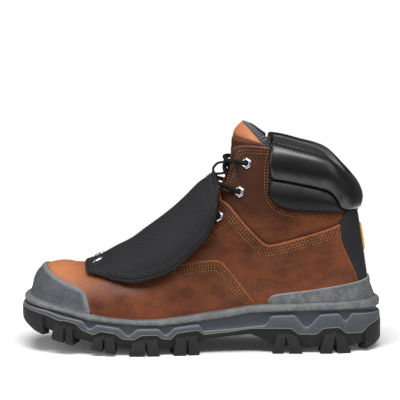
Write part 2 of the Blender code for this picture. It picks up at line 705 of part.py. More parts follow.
def cuff_section(tree, angle, front):
    # Two padded rolls outside, a fold over the collar edge and a short lining inside.
    edge = collar_top(angle)
    middle, slant = collar_spot(tree, angle, edge - 14.0)
    x = CUFF_AXIS_X + middle * math.cos(angle)
    low = line_at(CUFF_BOTTOM, x)
    seam = max(line_at(CUFF_SEAM, x), low + 1.0)
    top = edge + CUFF_RISE
    ends = smooth_step((front - abs(angle)) * middle / 6.0 + 0.35)
    lower_swell = CUFF_SWELL * ends * min(1.0, (seam - low) / 13.0) ** 0.6
    upper_swell = (CUFF_SWELL + 0.8) * ends
    clear = 4.0 * TOUCH
    wall = WALL + 3.0 * TOUCH
    profile = [
        (clear, low), (1.6 + lower_swell * 0.75, lerp(low, seam, 0.2)),
        (1.2 + lower_swell, lerp(low, seam, 0.58)), (1.2 + lower_swell * 0.7, lerp(low, seam, 0.88)),
        (1.8, seam), (1.4 + upper_swell * 0.8, lerp(seam, top, 0.15)),
        (1.2 + upper_swell, lerp(seam, top, 0.48)), (1.2 + upper_swell * 0.85, lerp(seam, top, 0.8)),
        (0.6 + upper_swell * 0.4, lerp(seam, top, 0.96)), (-1.8, top), (-wall - 2.8, top - 3.4),
        (-wall, top - 15.0), (-wall, edge + clear), (clear, edge + clear),
        (clear, lerp(low, edge, 0.5)),
    ]
    points = []
    for reach, z in profile:
        distance, slant = collar_spot(tree, angle, min(z, edge - 0.8))
        distance += reach * slant
        points.append((CUFF_AXIS_X + distance * math.cos(angle), distance * math.sin(angle), z))
    return points


def build_tongue(group, material, tree):
    places = [0, 0.5, 1, 1.5, 2, 2.5, 3, 3.5, 4, 5, 6, 7, 7.5, 8]
    sections = [tongue_section(tree, *row_at(TONGUE_SECTIONS, float(place))) for place in places]
    return add_object("tongue", loft(sections), material, group)


def tongue_section(tree, x, z, lean, half_width, depth, thickness):
    # The wings lie inside the upper's wall, and the middle fills the throat.
    back = Vector((math.cos(math.radians(lean)), 0.0, -math.sin(math.radians(lean))))
    shares = [-1.0, -0.76, -0.5, -0.2, 0.2, 0.5, 0.76, 1.0]
    outer = []
    inner = []
    for share in shares:
        spot = Vector((x, swing(x) + share * half_width, z))
        bend = max(depth * abs(share) ** 1.9, wall_depth(tree, spot, back))
        centre = spot + back * bend
        pad = thickness * (1.0 - 0.75 * share * share)
        outer.append(centre)
        inner.append(centre + back * pad + Vector((0.0, -share * pad * 0.35, 0.0)))
    return outer + list(reversed(inner))


def wall_depth(tree, spot, back):
    # How far behind a spot the upper's inner face lies, or 0 in the throat.
    reach = 45.0
    place, normal, index, distance = tree.ray_cast((spot + back * reach) * MM, -back)
    if place is None or distance / MM > 2.0 * reach:
        return 0.0
    clearance = (WALL + 3.0 * TOUCH) / max(0.35, abs(normal.dot(back)))
    return reach - distance / MM + clearance


def guard_point(position, share):
    # share runs from -1 at the lateral edge over the ridge at 0 to the medial edge at 1.
    ridge_x, ridge_z, edge_x, edge_y, edge_z, thick = row_at(GUARD_RIBS, position)
    side = -1.0 if share < 0.0 else 1.0
    drop = ridge_z - edge_z
    ridge = Vector((ridge_x, swing(ridge_x), ridge_z))
    first = Vector((lerp(ridge_x, edge_x, 0.25), ridge.y + side * edge_y * 0.58, ridge_z - 0.02 * drop))
    second = Vector((lerp(ridge_x, edge_x, 0.8), ridge.y + side * edge_y, edge_z + 0.56 * drop))
    edge = Vector((edge_x, ridge.y + side * edge_y, edge_z))
    return bezier(ridge, first, second, edge, abs(share)), thick


def build_guard(group, material):
    bm = bmesh.new()
    layer = bm.verts.layers.deform.verify()
    rows = []
    steps = 12
    for step in range(steps + 1):
        row = []
        for column in range(GUARD_COLUMNS + 1):
            position = (len(GUARD_RIBS) - 1.0) * step / steps
            place, thick = guard_point(position, lerp(-1.0, 1.0, column / GUARD_COLUMNS))
            vert = bm.verts.new(place * MM)
            vert[layer][0] = thick / GUARD_THICKNESS
            row.append(vert)
        rows.append(row)
    for one, two in zip(rows, rows[1:]):
        for column in range(GUARD_COLUMNS):
            bm.faces.new((one[column], one[column + 1], two[column + 1], two[column]))
    bm.normal_update()
    if sum(face.normal.z for face in bm.faces) < 0.0:
        bmesh.ops.reverse_faces(bm, faces=bm.faces[:])
    guard = keep_object("met_guard", bm, material, group)
    guard.vertex_groups.new(name="thickness")
    wall = solidify(guard, GUARD_THICKNESS, outward=False)
    wall.vertex_group = "thickness"
    return guard


def guard_spot(guard, side, x, y):
    # Point and normal of the guard's outer face at x, y.
    bm = bmesh.new()
    bm.from_mesh(guard.data)
    tree = BVHTree.FromBMesh(bm)
    bm.free()
    start = Vector((x, swing(x) + side * y, 250.0)) * MM
    place, normal, index, distance = tree.ray_cast(start, Vector((0.0, 0.0, -1.0)))
    return place / MM, normal if normal.z > 0.0 else -normal


def build_rivets(group, material, guard):
    for side, name in ((-1, "guard_rivet_lateral"), (1, "guard_rivet_medial")):
        place, normal = guard_spot(guard, side, *RIVET_SPOT)
        bm = bmesh.new()
        bmesh.ops.create_cone(
            bm, cap_ends=True, segments=16,
            radius1=RIVET_RADIUS * MM, radius2=RIVET_TOP_RADIUS * MM, depth=RIVET_HEIGHT * MM,
        )
        bmesh.ops.scale(bm, verts=bm.verts[:], vec=(RIVET_STRETCH, 1.0, 1.0))
        turn = normal.to_track_quat("Z", "X")
        rivet = add_object(name, bm, material, group)
        rivet.rotation_mode = "QUATERNION"
        rivet.rotation_quaternion = turn
        rivet.location = (place + normal * (RIVET_HEIGHT / 2.0 + 3.0 * TOUCH)) * MM


def eyelet_places(tree):
    places = {}
    for side, word in ((-1, "lateral"), (1, "medial")):
        for number, (x, z, seat) in enumerate(EYELETS, start=1):
            place, normal = side_spot(tree, side, x, z)
            places[f"{word}_{number}"] = (side, place + normal * seat, normal)
    return places


def eyelet_holes(places, group):
    bm = bmesh.new()
    for side, place, normal in places.values():
        turn = normal.to_track_quat("Z", "Y").to_matrix().to_4x4()
        turn.translation = place * MM
        bmesh.ops.create_cone(
            bm, cap_ends=True, segments=6, matrix=turn,
            radius1=EYELET_HOLE * 0.5 * MM, radius2=EYELET_HOLE * 0.5 * MM, depth=14.0 * MM,
        )
    holes = add_object("eyelet_holes", bm, None, group, smooth=False)
    hide_cutter(holes)
    return holes


def build_eyelets(group, material, places):
    for word, (side, place, normal) in places.items():
        bm = bmesh.new()
        outer = EYELET_ACROSS * 0.5 * MM
        inner = EYELET_HOLE * 0.5 * MM
        top = EYELET_HEIGHT * MM
        profile = [(inner, 0.0), (outer, 0.0), (outer * 0.84, top), (inner, top)]
        verts = [bm.verts.new((r, 0.0, z)) for r, z in profile]
        edges = [bm.edges.new((verts[i - 1], verts[i])) for i in range(4)]
        bmesh.ops.spin(bm, geom=verts + edges, angle=2.0 * math.pi, steps=6, use_merge=True,
                       axis=(0.0, 0.0, 1.0), cent=(0.0, 0.0, 0.0))
        bmesh.ops.remove_doubles(bm, verts=bm.verts[:], dist=0.00001)
        eyelet = add_object("eyelet_" + word, bm, material, group, smooth=False)
        eyelet.rotation_mode = "QUATERNION"
        eyelet.rotation_quaternion = normal.to_track_quat("Z", "Y")
        eyelet.location = (place + normal * EYELET_SEAT) * MM


def tube_mesh(name, points, radius, resolution):
    # A round cord through the points, as a closed mesh.
    curve = bpy.data.curves.new(name, "CURVE")
    curve.dimensions = "3D"
    curve.bevel_depth = radius * MM
    curve.bevel_resolution = resolution
    curve.use_fill_caps = True
    spline = curve.splines.new("POLY")
    spline.points.add(len(points) - 1)
    for slot, point in zip(spline.points, points):
        slot.co = (*(Vector(point) * MM), 1.0)
    holder = bpy.data.objects.new(name, curve)
    bpy.context.scene.collection.objects.link(holder)
    graph = bpy.context.evaluated_depsgraph_get()
    mesh = bpy.data.meshes.new_from_object(holder.evaluated_get(graph))
    bpy.data.objects.remove(holder, do_unlink=True)
    bm = bmesh.new()
    bm.from_mesh(mesh)
    bmesh.ops.remove_doubles(bm, verts=bm.verts[:], dist=0.00001)
    return bm


def smooth_route(points, steps):
    last = len(points) - 1
    return [Vector(row_at(points, i / steps)) for i in range(last * steps)] + [Vector(points[-1])]


def lacing_ground():
    # What the laces lie on: the panels round the throat, and the tongue in it.
    bm = last_surface(QUARTER_THICKNESS + OVERLAY_GAP, RIB_ROWS[1:])
    tongue = bpy.data.objects["tongue"].data
    bm.from_mesh(tongue)
    tree = BVHTree.FromBMesh(bm)
    bm.free()
    return tree


def lace_route(ground, start, end):
    # From one eyelet to another over whatever bulges most between them.
    side_a, place_a, normal_a = start
    side_b, place_b, normal_b = end
    along = (place_b - place_a).normalized()
    route = []
    for share in LACE_SHARES:
        spot = place_a.lerp(place_b, share)
        out = normal_a.lerp(normal_b, share)
        out = (out + LACE_BOW * math.sin(math.pi * share)).normalized()
        level = 0.0
        slant = 1.0
        for offset in LACE_WIDTH_TESTS:
            below = spot + along * offset
            hit, normal, index, distance = ground.ray_cast((below + out * 60.0) * MM, -out)
            height = (hit / MM - below).dot(out)
            if height > level:
                level = height
                slant = 1.0 / max(0.6, abs(normal.dot(out)))
        to_end = min(share, 1.0 - share) * (place_b - place_a).length
        lift = LACE_RADIUS + LACE_LIFT
        lift += LACE_OVER_EYELET if to_end < 0.8 * EYELET_ACROSS else 0.0
        lift += LACE_OVER_TOP_EDGE if max(place_a.z, place_b.z) > EYELETS[1][1] + EYELET_ACROSS else 0.0
        route.append(spot + out * (level + lift * slant))
    return route


def build_laces(group, cutters, material, places):
    # Crossings between neighbouring eyelet pairs, and a straight bar at both ends.
    ground = lacing_ground()
    last = len(EYELETS)
    runs = [("lateral_1", "medial_1")]
    for number in range(1, last):
        runs.append((f"lateral_{number}", f"medial_{number + 1}"))
        runs.append((f"medial_{number}", f"lateral_{number + 1}"))
    runs.append((f"lateral_{last}", f"medial_{last}"))
    laces = None
    for index, (one, two) in enumerate(runs):
        bm = tube_mesh("lace_run", lace_route(ground, places[one], places[two]), LACE_RADIUS, 1)
        if laces is None:
            laces = add_object("lace_crossings", bm, material, group)
        else:
            extra = add_object(f"lace_run_{index}", bm, None, cutters)
            hide_cutter(extra)
            boolean(laces, extra, "UNION")
    return laces


def build_guard_loop(group, material):
    # The thin cord that ties the guard's upper corner to the lacing.
    route = [
        (9.2, 3.0, 151.2), (11.5, 0.5, 156.6), (14.5, -2.0, 160.6), (17.6, -4.0, 161.6),
        (16.6, -6.0, 155.5), (15.8, -6.5, 150.0), (13.4, -5.0, 148.4), (11.4, -3.0, 148.8),
    ]
    bm = tube_mesh("guard_loop", smooth_route(route, 2), LOOP_RADIUS, 1)
    return add_object("guard_loop", bm, material, group)


def main():
    clear_scene()
    group = make_collection("metatarsal_guard_boot")
    cutters = make_collection("cutters")
    materials = {name: make_material(name) for name in FINISHES}
    tree = last_tree()
    places = eyelet_places(tree)
    holes = eyelet_holes(places, cutters)
    build_outsole(group, cutters, materials["outsole_rubber"])
    build_midsole(group, materials["midsole_grey"])
    build_insole(group, materials["footbed_grey"])
    build_upper(group, materials["brown_leather"], holes)
    build_overlays(group, cutters, materials, holes)
    build_cuff(group, materials["black_leather"], tree)
    build_tongue(group, materials["brown_leather"], tree)
    guard = build_guard(group, materials["guard_grey"])
    build_rivets(group, materials["bright_metal"], guard)
    build_eyelets(group, materials["bright_metal"], places)
    build_laces(group, cutters, materials["lace_black"], places)
    build_guard_loop(group, materials["lace_black"])


main()
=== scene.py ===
# Left metatarsal guard boot: leather, rubber, padding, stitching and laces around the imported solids.
# Tables are in millimetres in the boot's frame: toe at -X, lateral side at -Y, floor at Z 0.
import math

import bmesh
import bpy
import numpy as np
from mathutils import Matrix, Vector
from mathutils.bvhtree import BVHTree


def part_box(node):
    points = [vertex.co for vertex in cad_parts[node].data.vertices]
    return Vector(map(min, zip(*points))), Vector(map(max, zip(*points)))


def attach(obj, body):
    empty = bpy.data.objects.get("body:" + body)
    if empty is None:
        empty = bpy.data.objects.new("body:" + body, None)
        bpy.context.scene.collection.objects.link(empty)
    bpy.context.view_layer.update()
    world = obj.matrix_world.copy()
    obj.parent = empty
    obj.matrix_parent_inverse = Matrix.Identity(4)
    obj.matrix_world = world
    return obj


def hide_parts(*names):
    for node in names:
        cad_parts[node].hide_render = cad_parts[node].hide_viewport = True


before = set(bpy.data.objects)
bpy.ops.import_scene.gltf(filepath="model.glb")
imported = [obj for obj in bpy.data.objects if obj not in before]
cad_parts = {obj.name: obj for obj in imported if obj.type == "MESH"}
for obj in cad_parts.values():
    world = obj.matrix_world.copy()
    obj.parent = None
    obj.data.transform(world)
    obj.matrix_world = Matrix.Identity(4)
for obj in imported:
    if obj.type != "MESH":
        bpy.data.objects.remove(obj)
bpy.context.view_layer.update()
mm = 0.001
scene = bpy.context.scene
print("frame loaded")

view = {
    "target": (-1.2, 0, 124.7),
    "distance": 2000,
    "elevation": 6.5,
    "lens": 211.8,
}


def added(name, data):
    piece = bpy.data.objects.new(name, data)
    scene.collection.objects.link(piece)
    return piece


def makeCamera():
    lift = math.radians(view["elevation"])
    away = Vector((0, -math.cos(lift), math.sin(lift)))
    data = bpy.data.cameras.new("camera")
    data.lens = view["lens"]
    camera = added("camera", data)
    camera.location = (Vector(view["target"]) + away * view["distance"]) * mm
    camera.rotation_euler = away.to_track_quat("Z", "Y").to_euler()
    scene.camera = camera


makeCamera()

# The form of the boot, as the solids have it.
shape = {
    "soleLength": 305, "wall": 2.2, "upperInset": 9.6, "seatInset": 9, "touch": 0.3,
    # The last swings inwards at the toe and its medial side rises at the collar: reach, start, length.
    "toeSwing": (8, -5, 140), "medialRise": (4, 10, 45),
}
toeTip = (-shape["soleLength"] / 2, shape["toeSwing"][0])
heelTip = (shape["soleLength"] / 2, 0)
# Plan of the sole: x, lateral reach, medial reach.
solePlan = [
    (-150, -15, 29), (-143, -31, 41), (-132, -42, 48), (-116, -49, 53), (-96, -53.5, 55.5), (-72, -56, 56),
    (-48, -55.5, 53.5), (-24, -52.5, 47.5), (0, -47.5, 41), (24, -43.5, 37), (48, -41.5, 37),
    (72, -41.8, 39.5), (96, -42, 41), (118, -40, 39.5), (134, -34, 33.5), (145, -23.5, 23.5),
    (150.5, -12, 12),
]
# Side-view lines of the sole: x, z.
treadLine = [
    (-153, 27.5), (-149, 24.2), (-140, 18.6), (-124, 12.8), (-107, 8.6), (-89, 5), (-71, 1.8), (-58, 0),
    (126, 0), (138, 1.8), (146, 4.8), (153, 8.5),
]
bodyLine = [
    (-153, 32), (-140, 24.4), (-124, 18.4), (-107, 14.2), (-89, 10.6), (-71, 7.4), (-54, 5.6), (-8, 5.6),
    (-2.4, 9.1), (4.2, 12.4), (24, 14.5), (41.5, 16), (52, 11.8), (59, 6.4), (64, 5.6), (126, 5.6),
    (138, 7.4), (153, 14),
]
partingLine = [
    (-153, 36.6), (-131, 33.6), (-118, 28.7), (-115.3, 29.5), (-104.6, 27.2), (-100.2, 22.2), (-90.1, 18.1),
    (-84.3, 21.1), (-71.4, 19.2), (-66.1, 14.8), (-55.6, 14.1), (-50.5, 17.6), (-36.2, 17.8), (-32.9, 14.6),
    (-25, 14), (-20.7, 18.9), (-2.7, 21), (1.6, 17.1), (24, 18.9), (41, 21.4), (75.4, 21.4), (81.3, 16.5),
    (96.8, 16.5), (102, 21.4), (115.5, 22.1), (121.6, 17), (135.8, 16.7), (141, 22.1), (153, 25.9),
]
ribLine = [
    (-153, 38.2), (-131, 36.4), (-118, 32.5), (-101, 29.1), (-98.6, 28), (-95.8, 23.4), (-92.4, 21.9),
    (-88, 25.9), (-68, 23.1), (-62.8, 17.3), (-60, 16.7), (-53.6, 22.1), (-35.6, 22.4), (-30.8, 17.3),
    (-28.2, 17.2), (-22.4, 22.9), (-1.6, 25), (1.6, 19.3), (24, 20.7), (52, 23.2), (55, 24.6), (58.2, 31.1),
    (78, 32), (86.5, 22), (89.8, 22), (99.4, 32.2), (115.5, 33.2), (120, 27.2), (122.6, 27.1), (126.4, 33),
    (153, 31.2),
]
lipBottom = [
    (-153, 41.4), (-118, 35.9), (-94, 29.6), (-70, 26.9), (-43, 25.2), (-33, 25.1), (-6, 27.5), (24, 30.9),
    (41, 34.2), (67, 35.4), (94, 36.2), (125, 36.8), (153, 36.4),
]
lipTop = [
    (-153, 46.5), (-134, 43.2), (-118, 39.3), (-94, 34.6), (-79, 31.7), (-59, 29.9), (-36, 30), (-12, 32.4),
    (18, 36.4), (41, 39.9), (56, 41), (99, 43), (125, 43.5), (153, 44.4),
]
seatLine = [
    (-153, 38.8), (-140, 36.4), (-120, 31.5), (-100, 26.5), (-60, 21.5), (-30, 21.5), (0, 24.5), (30, 28.5),
    (60, 31.5), (100, 33), (153, 34),
]
# Ribs of the last, toe to heel: base x, side bulge, heights and handles, top x, y, z.
lastRibs = [
    (-152.5, -142, 0, 60.5, -136, 0, 70.6, -117, 0, 70.6),
    (-144, -134.5, 0.8, 60.5, -127, 21, 71.2, -109, 0, 70.2),
    (-124, -118.5, 0.8, 60.5, -111, 27, 70, -99, 0, 67.8), (-101, -98, 0.8, 60, -92, 26, 68.6, -84, 0, 70),
    (-80, -77, 0.5, 60, -72, 25, 74, -67, 0, 77.4), (-58, -55, 0, 61.5, -51, 24, 84.5, -49, 0, 87.4),
    (-36, -33, -0.5, 65.5, -30, 24, 98, -30, 0, 100), (-16, -13, -0.5, 69, -8, 27, 103.5, -12, 12, 107.8),
    (6, 6, 1, 74, 12, 31, 113, 6.5, 14.5, 121.8), (26, 24, 2, 80, 28, 35, 127, 19.5, 16, 141.5),
    (42, 38, 2.5, 84, 38.5, 37, 136, 24.6, 17, 158), (54, 50, 2.5, 88, 43, 38, 142, 29, 20, 171.5),
    (72, 68, 2, 88, 63, 37, 138, 59, 33.5, 171), (92, 88, 1.5, 86, 85, 36, 134, 84, 36.5, 165.5),
    (112, 109, 1, 84, 106, 34.5, 128, 105, 33.5, 159.5),
    (132, 127, 0.5, 78, 122.5, 26, 116, 119.5, 23, 146.5),
    (147, 136.5, 0, 70, 132.5, 14, 104, 125.5, 11.5, 140.5),
    (152.5, 138.4, 0, 64, 135.5, 0, 96, 126.5, 0, 139.5),
]
throatRib = 6
collarRib = 11
# Side-view edges of the overlays: x, z.
bumperEdge = [
    (-134, 76), (-133.4, 69.7), (-126.2, 64.1), (-116.4, 59), (-100.3, 53.3), (-96.3, 49.9), (-94.7, 43.7),
    (-93.1, 38.2), (-89.8, 33),
]
vampEdge = [
    (-40, 112), (-36, 86), (-31, 75.6), (-25.3, 73.1), (-2.9, 77.2), (12.5, 78.4), (17, 76.8), (19.7, 74.5),
    (31.6, 59.5), (44, 43.1), (46.5, 38),
]
quarterEdge = [
    (16.4, 150), (16.4, 127), (19.8, 126.3), (23.7, 123.6), (34.1, 110.6), (48.5, 95.4), (54.4, 90.8),
    (58.9, 90.6), (77.3, 95.4), (96.5, 100.9), (115, 107.4),
]
patchEdge = [
    (119.9, 116.9), (116, 110.1), (115, 100.6), (118, 88.8), (124, 76.8), (129, 64.8), (130.7, 56),
]
cupTop = [
    (54.5, 40), (56, 44), (59, 48.1), (63, 49.2), (78, 51), (94, 53), (131, 58.9), (160, 65),
]
cuffBottom = [
    (56, 133.1), (58.5, 131), (61.8, 125.5), (69.5, 120.6), (86.8, 118.4), (104.1, 117.9), (140, 118.2),
]
cuffSeam = [
    (56, 146.6), (76.9, 142.9), (99.8, 137.5), (106.7, 134.2), (110.5, 127.5), (115, 118.4), (140, 118.4),
]
# Guard ribs from ridge to edge: ridge x, z, edge x, y, z, thickness.
guardRibs = [
    (-98.8, 72.2, -95.5, 37, 67.6, 1.6), (-91.5, 75, -86, 41, 66, 2.4), (-82.5, 79.6, -75.5, 45, 63.2, 4),
    (-72.8, 85.2, -66.5, 48, 61.8, 5), (-60, 91.8, -56, 50, 61.6, 5.2),
    (-48, 100.8, -42.7, 51.5, 64.8, 5.2), (-35, 110.4, -28.6, 51, 69.9, 4.8),
    (-24, 119.2, -17.4, 49.5, 77.3, 4.4), (-14.5, 128, -2.7, 48, 92, 4.4),
    (-6.5, 136.2, 4.6, 47.5, 100.8, 4.4), (1, 143.4, 11.5, 44.5, 115.4, 4.2),
    (9.2, 149.2, 13.6, 40, 126.9, 4),
]


def smoothStep(value):
    value = np.clip(value, 0, 1)
    return value * value * (3 - 2 * value)


def lineAt(table, x):
    table = np.asarray(table)
    return np.interp(x, table[:, 0], table[:, 1])


def levelAt(table, x):
    return float(lineAt(table, x))


def rowAt(rows, positions):
    # Catmull-Rom values of a table at fractional row numbers.
    rows = np.asarray(rows, float)
    positions = np.atleast_1d(np.asarray(positions, float))
    last = len(rows) - 1
    index = np.minimum(positions.astype(int), last - 1)
    share = (positions - index)[:, None]
    before, start = rows[np.maximum(index - 1, 0)], rows[index]
    end, after = rows[index + 1], rows[np.minimum(index + 2, last)]
    bend = (2 * before - 5 * start + 4 * end - after) * share ** 2
    twist = (3 * start - before - 3 * end + after) * share ** 3
    return 0.5 * (2 * start + (end - before) * share + bend + twist)


def swing(x):
    reach, start, length = shape["toeSwing"]
    return reach * smoothStep((start - x) / length)


def planRail(side):
    # One side of the sole's plan from toe tip to heel tip.
    column, other = (1, 2) if side < 0 else (2, 1)
    plan = [(solePlan[0][0], solePlan[0][other]), toeTip]
    plan += [(row[0], row[column]) for row in solePlan]
    plan += [heelTip, (solePlan[-1][0], solePlan[-1][other])]
    steps = np.arange(12, (len(plan) - 2) * 12) / 12
    return [Vector(point) for point in rowAt(plan, steps)] + [Vector(heelTip)]


rails = {-1: planRail(-1), 1: planRail(1)}


def railSpot(side, x, inset):
    points = rails[side]
    last = len(points) - 1
    index = 0
    while index < last - 1 and points[index + 1].x < x:
        index += 1
    start, end = points[index], points[index + 1]
    share = min(1, max(0, (x - start.x) / max(end.x - start.x, 1e-6)))
    ahead = points[min(index + 2, last)] - start
    behind = end - points[max(index - 1, 0)]
    along = behind.normalized().lerp(ahead.normalized(), share).normalized()
    if x <= toeTip[0]:
        along = Vector((0, side))
    if x >= heelTip[0]:
        along = Vector((0, -side))
    return start.lerp(end, share) + Vector((along.y, -along.x)) * side * inset


def ribGrid(side, places, heights):
    # Points of the last in millimetres: places count ribs from the toe, heights run from edge to top.
    rows = rowAt(lastRibs, places)
    baseX = np.clip(rows[:, 0], toeTip[0], heelTip[0])
    spots = np.array([railSpot(side, x, shape["upperInset"]) for x in baseX])
    lastPlace = len(lastRibs) - 1
    off = np.where((places <= 0) | (places >= lastPlace), 0, 1)
    spread = np.where(places > throatRib, 1, 0) * off
    x1, bulge, z1, x2, y2, z2, x3, y3, z3 = rows[:, 1:].T
    reach, riseStart, riseLength = shape["medialRise"]
    rise = (side > 0) * reach * smoothStep((x3 - riseStart) / riseLength)
    rise = rise * smoothStep((lastPlace - places) / 3)
    lip = lineAt(lipTop, spots[:, 0])
    start = np.stack([spots[:, 0], spots[:, 1], lip], 1)[:, None]
    first = np.stack([x1, spots[:, 1] + side * bulge * off, z1], 1)[:, None]
    second = np.stack([x2, swing(x2) + side * y2 * off, z2 + 0.5 * rise], 1)[:, None]
    top = np.stack([x3, swing(x3) + side * np.maximum(y3, 0) * spread, z3 + rise], 1)[:, None]
    t = np.maximum(heights, 0)[None, :, None]
    s = 1 - t
    grid = start * s ** 3 + first * 3 * s * s * t + second * 3 * s * t * t + top * t ** 3
    sunk = np.maximum(-heights, 0)[None, :]
    seat = lineAt(seatLine, spots[:, 0]) + 2 * shape["touch"]
    grid[:, :, 2] += sunk * (seat - lip)[:, None]
    return grid


def unit(vectors):
    return vectors / np.maximum(np.linalg.norm(vectors, axis=-1, keepdims=True), 1e-9)


def bell(value, centre, width):
    return np.exp(-((value - centre) / width) ** 2)


def between(start, end, share):
    return start + (end - start) * share


def runs(points, axis=0):
    # Lengths over a line or a sheet of points, from its first row or column.
    first = points[:, :1] if axis else points[:1]
    return np.cumsum(np.linalg.norm(np.diff(points, axis=axis, prepend=first), axis=-1), axis=axis)


def circle(around):
    turn = np.arange(around) * 2 * math.pi / around
    return turn, np.cos(turn), np.sin(turn)


def quads(across, up, flip):
    index = np.arange(across * up).reshape(across, up)
    faces = np.stack([index[:-1, :-1], index[1:, :-1], index[1:, 1:], index[:-1, 1:]], -1).reshape(-1, 4)
    return faces[:, ::-1] if flip else faces


lastGrid = {"places": 16, "heights": 72, "sunk": 6, "merge": 5000}


def mergePoints(points):
    # Index of every point in the list of different points, and where each of those comes first.
    keys = np.round(points * lastGrid["merge"]).astype(np.int64)
    first, index = np.unique(keys, axis=0, return_index=True, return_inverse=True)[1:]
    return first, index.reshape(-1)


def buildLast():
    # Both sides of the last as one mesh, with its outward normals and its lengths over the surface.
    steps = (len(lastRibs) - 1) * lastGrid["places"] + 1
    places = np.linspace(0, len(lastRibs) - 1, steps)
    heights = np.concatenate([
        np.linspace(-1, 0, lastGrid["sunk"], endpoint=False), np.linspace(0, 1, lastGrid["heights"]),
    ])
    grids = {side: ribGrid(side, places, heights) for side in (-1, 1)}
    closed = places <= throatRib
    for rows in (0, -1):
        grids[1][rows] = grids[-1][rows]
    grids[1][closed, -1] = grids[-1][closed, -1]
    normals = {}
    for side, grid in grids.items():
        normals[side] = unit(np.cross(np.gradient(grid, axis=0), np.gradient(grid, axis=1)) * -side)
    for rows in (0, -1):
        normals[-1][rows] = normals[1][rows] = unit(normals[-1][rows] + normals[1][rows])
    ridge = unit(normals[-1][closed, -1] + normals[1][closed, -1])
    normals[-1][closed, -1] = normals[1][closed, -1] = ridge
    points, ups, faces, uv, sides = [], [], [], [], []
    for side, grid in grids.items():
        run = runs(grid, 1)
        along = runs(grid[:, len(heights) // 2])
        faces.append(quads(steps, len(heights), side > 0) + len(points) * grid[..., 0].size)
        points.append(grid.reshape(-1, 3))
        ups.append(normals[side].reshape(-1, 3))
        uv.append(np.stack([along[:, None] + 0 * run, run], -1).reshape(-1, 2))
        sides.append(np.full(len(faces[-1]), side))
    points = np.concatenate(points)
    first, index = mergePoints(points)
    return {
        "points": points[first], "normals": np.concatenate(ups)[first], "uv": np.concatenate(uv)[first],
        "faces": index[np.concatenate(faces)], "sides": np.concatenate(sides),
    }


last = buildLast()
if np.mean(last["points"][:, 1] * last["normals"][:, 1]) < 0:
    last["normals"] = -last["normals"]
    last["faces"] = last["faces"][:, ::-1]
lastTree = BVHTree.FromPolygons(last["points"].tolist(), last["faces"].tolist())
print("last built", len(last["points"]))


# Finishes: one class wraps a shader value, one adds a material's nodes.
class Value:
    def __init__(self, finish, socket):
        self.finish = finish
        self.socket = socket

    def maths(self, operation, *values):
        sockets = dict(enumerate(values))
        return self.finish.node("Math", {"operation": operation}, sockets)

    def __add__(self, other):
        return self.maths("ADD", self, other)

    def __sub__(self, other):
        return self.maths("SUBTRACT", self, other)

    def __rsub__(self, other):
        return self.maths("SUBTRACT", other, self)

    def __mul__(self, other):
        return self.maths("MULTIPLY", self, other)

    __radd__ = __add__
    __rmul__ = __mul__

    def least(self, other):
        return self.maths("MINIMUM", self, other)

    def most(self, other):
        return self.maths("MAXIMUM", self, other)

    def wave(self):
        # A triangle wave of period 1 between 0 and 1.
        return self.maths("PINGPONG", self * 2, 1)


class Finish:
    # A Principled material whose nodes are added by name. Colours may be six-digit screen codes.
    def __init__(self, name, **fixed):
        self.material = bpy.data.materials.new(name)
        self.material.use_nodes = True
        self.tree = self.material.node_tree
        self.shader = self.tree.nodes["Principled BSDF"]
        self.place = self.node("TexCoord", {}, {}, "Object")
        self.set(**fixed)

    def put(self, socket, value):
        if isinstance(value, Value):
            self.tree.links.new(value.socket, socket)
        elif socket.type == "RGBA":
            socket.default_value = (*(hue(value) if isinstance(value, str) else value), 1)
        else:
            socket.default_value = value

    def node(self, kind, settings, sockets, output=0):
        node = self.tree.nodes.new("ShaderNode" + kind)
        for key, value in settings.items():
            if key == "stops":
                setStops(node.color_ramp, value)
            else:
                setattr(node, key, value)
        for key, value in sockets.items():
            self.put(node.inputs[key], value)
        return Value(self, node.outputs[output])

    def crossed(self, along, across):
        # Two triangle waves that cross on the piece's surface map, in waves per metre.
        u, v, w = self.parts(self.node("UVMap", {"uv_map": "surface"}, {}))
        return (u * along + v * across).wave(), (u * along - v * across).wave()

    def mark(self, name):
        return self.node("Attribute", {"attribute_name": name}, {}, "Fac")

    def turned(self, turn, scale):
        # Object coordinates turned and scaled, for a pattern that runs one way.
        return self.node("Mapping", {}, {"Vector": self.place, "Rotation": turn, "Scale": scale})

    def noise(self, size, detail=2, rough=0.5, at=None):
        # Size is the width of the largest patches in millimetres.
        sockets = {"Vector": at or self.place, "Scale": 1000 / size, "Detail": detail, "Roughness": rough}
        return self.node("TexNoise", {}, sockets)

    def cells(self, size, feature="F1"):
        return self.node("TexVoronoi", {"feature": feature}, {"Vector": self.place, "Scale": 1000 / size})

    def ramp(self, value, *stops):
        return self.node("ValToRGB", {"stops": stops}, {"Fac": value})

    def step(self, value, low, high):
        sockets = {"Value": value, "From Min": low, "From Max": high}
        return self.node("MapRange", {"interpolation_type": "SMOOTHSTEP"}, sockets)

    def mix(self, share, one, two):
        return self.node("Mix", {"data_type": "RGBA"}, {0: share, 6: one, 7: two}, 2)

    def parts(self, vector):
        return [self.node("SeparateXYZ", {}, {"Vector": vector}, axis) for axis in ("X", "Y", "Z")]

    def bump(self, height, depth):
        # Depth is in millimetres for a height of 1.
        return self.node("Bump", {}, {"Height": height, "Distance": depth * mm, "Strength": 1})

    def set(self, **values):
        for socket, value in values.items():
            self.put(self.shader.inputs[socket.replace("_", " ")], value)
        return self.material


def setStops(ramp, stops):
    ramp.elements[0].position = stops[0][0]
    ramp.elements[1].position = stops[-1][0]
    for place, colour in stops[1:-1]:
        ramp.elements.new(place)
    for element, (place, colour) in zip(ramp.elements, stops):
        element.color = (*hue(colour), 1)


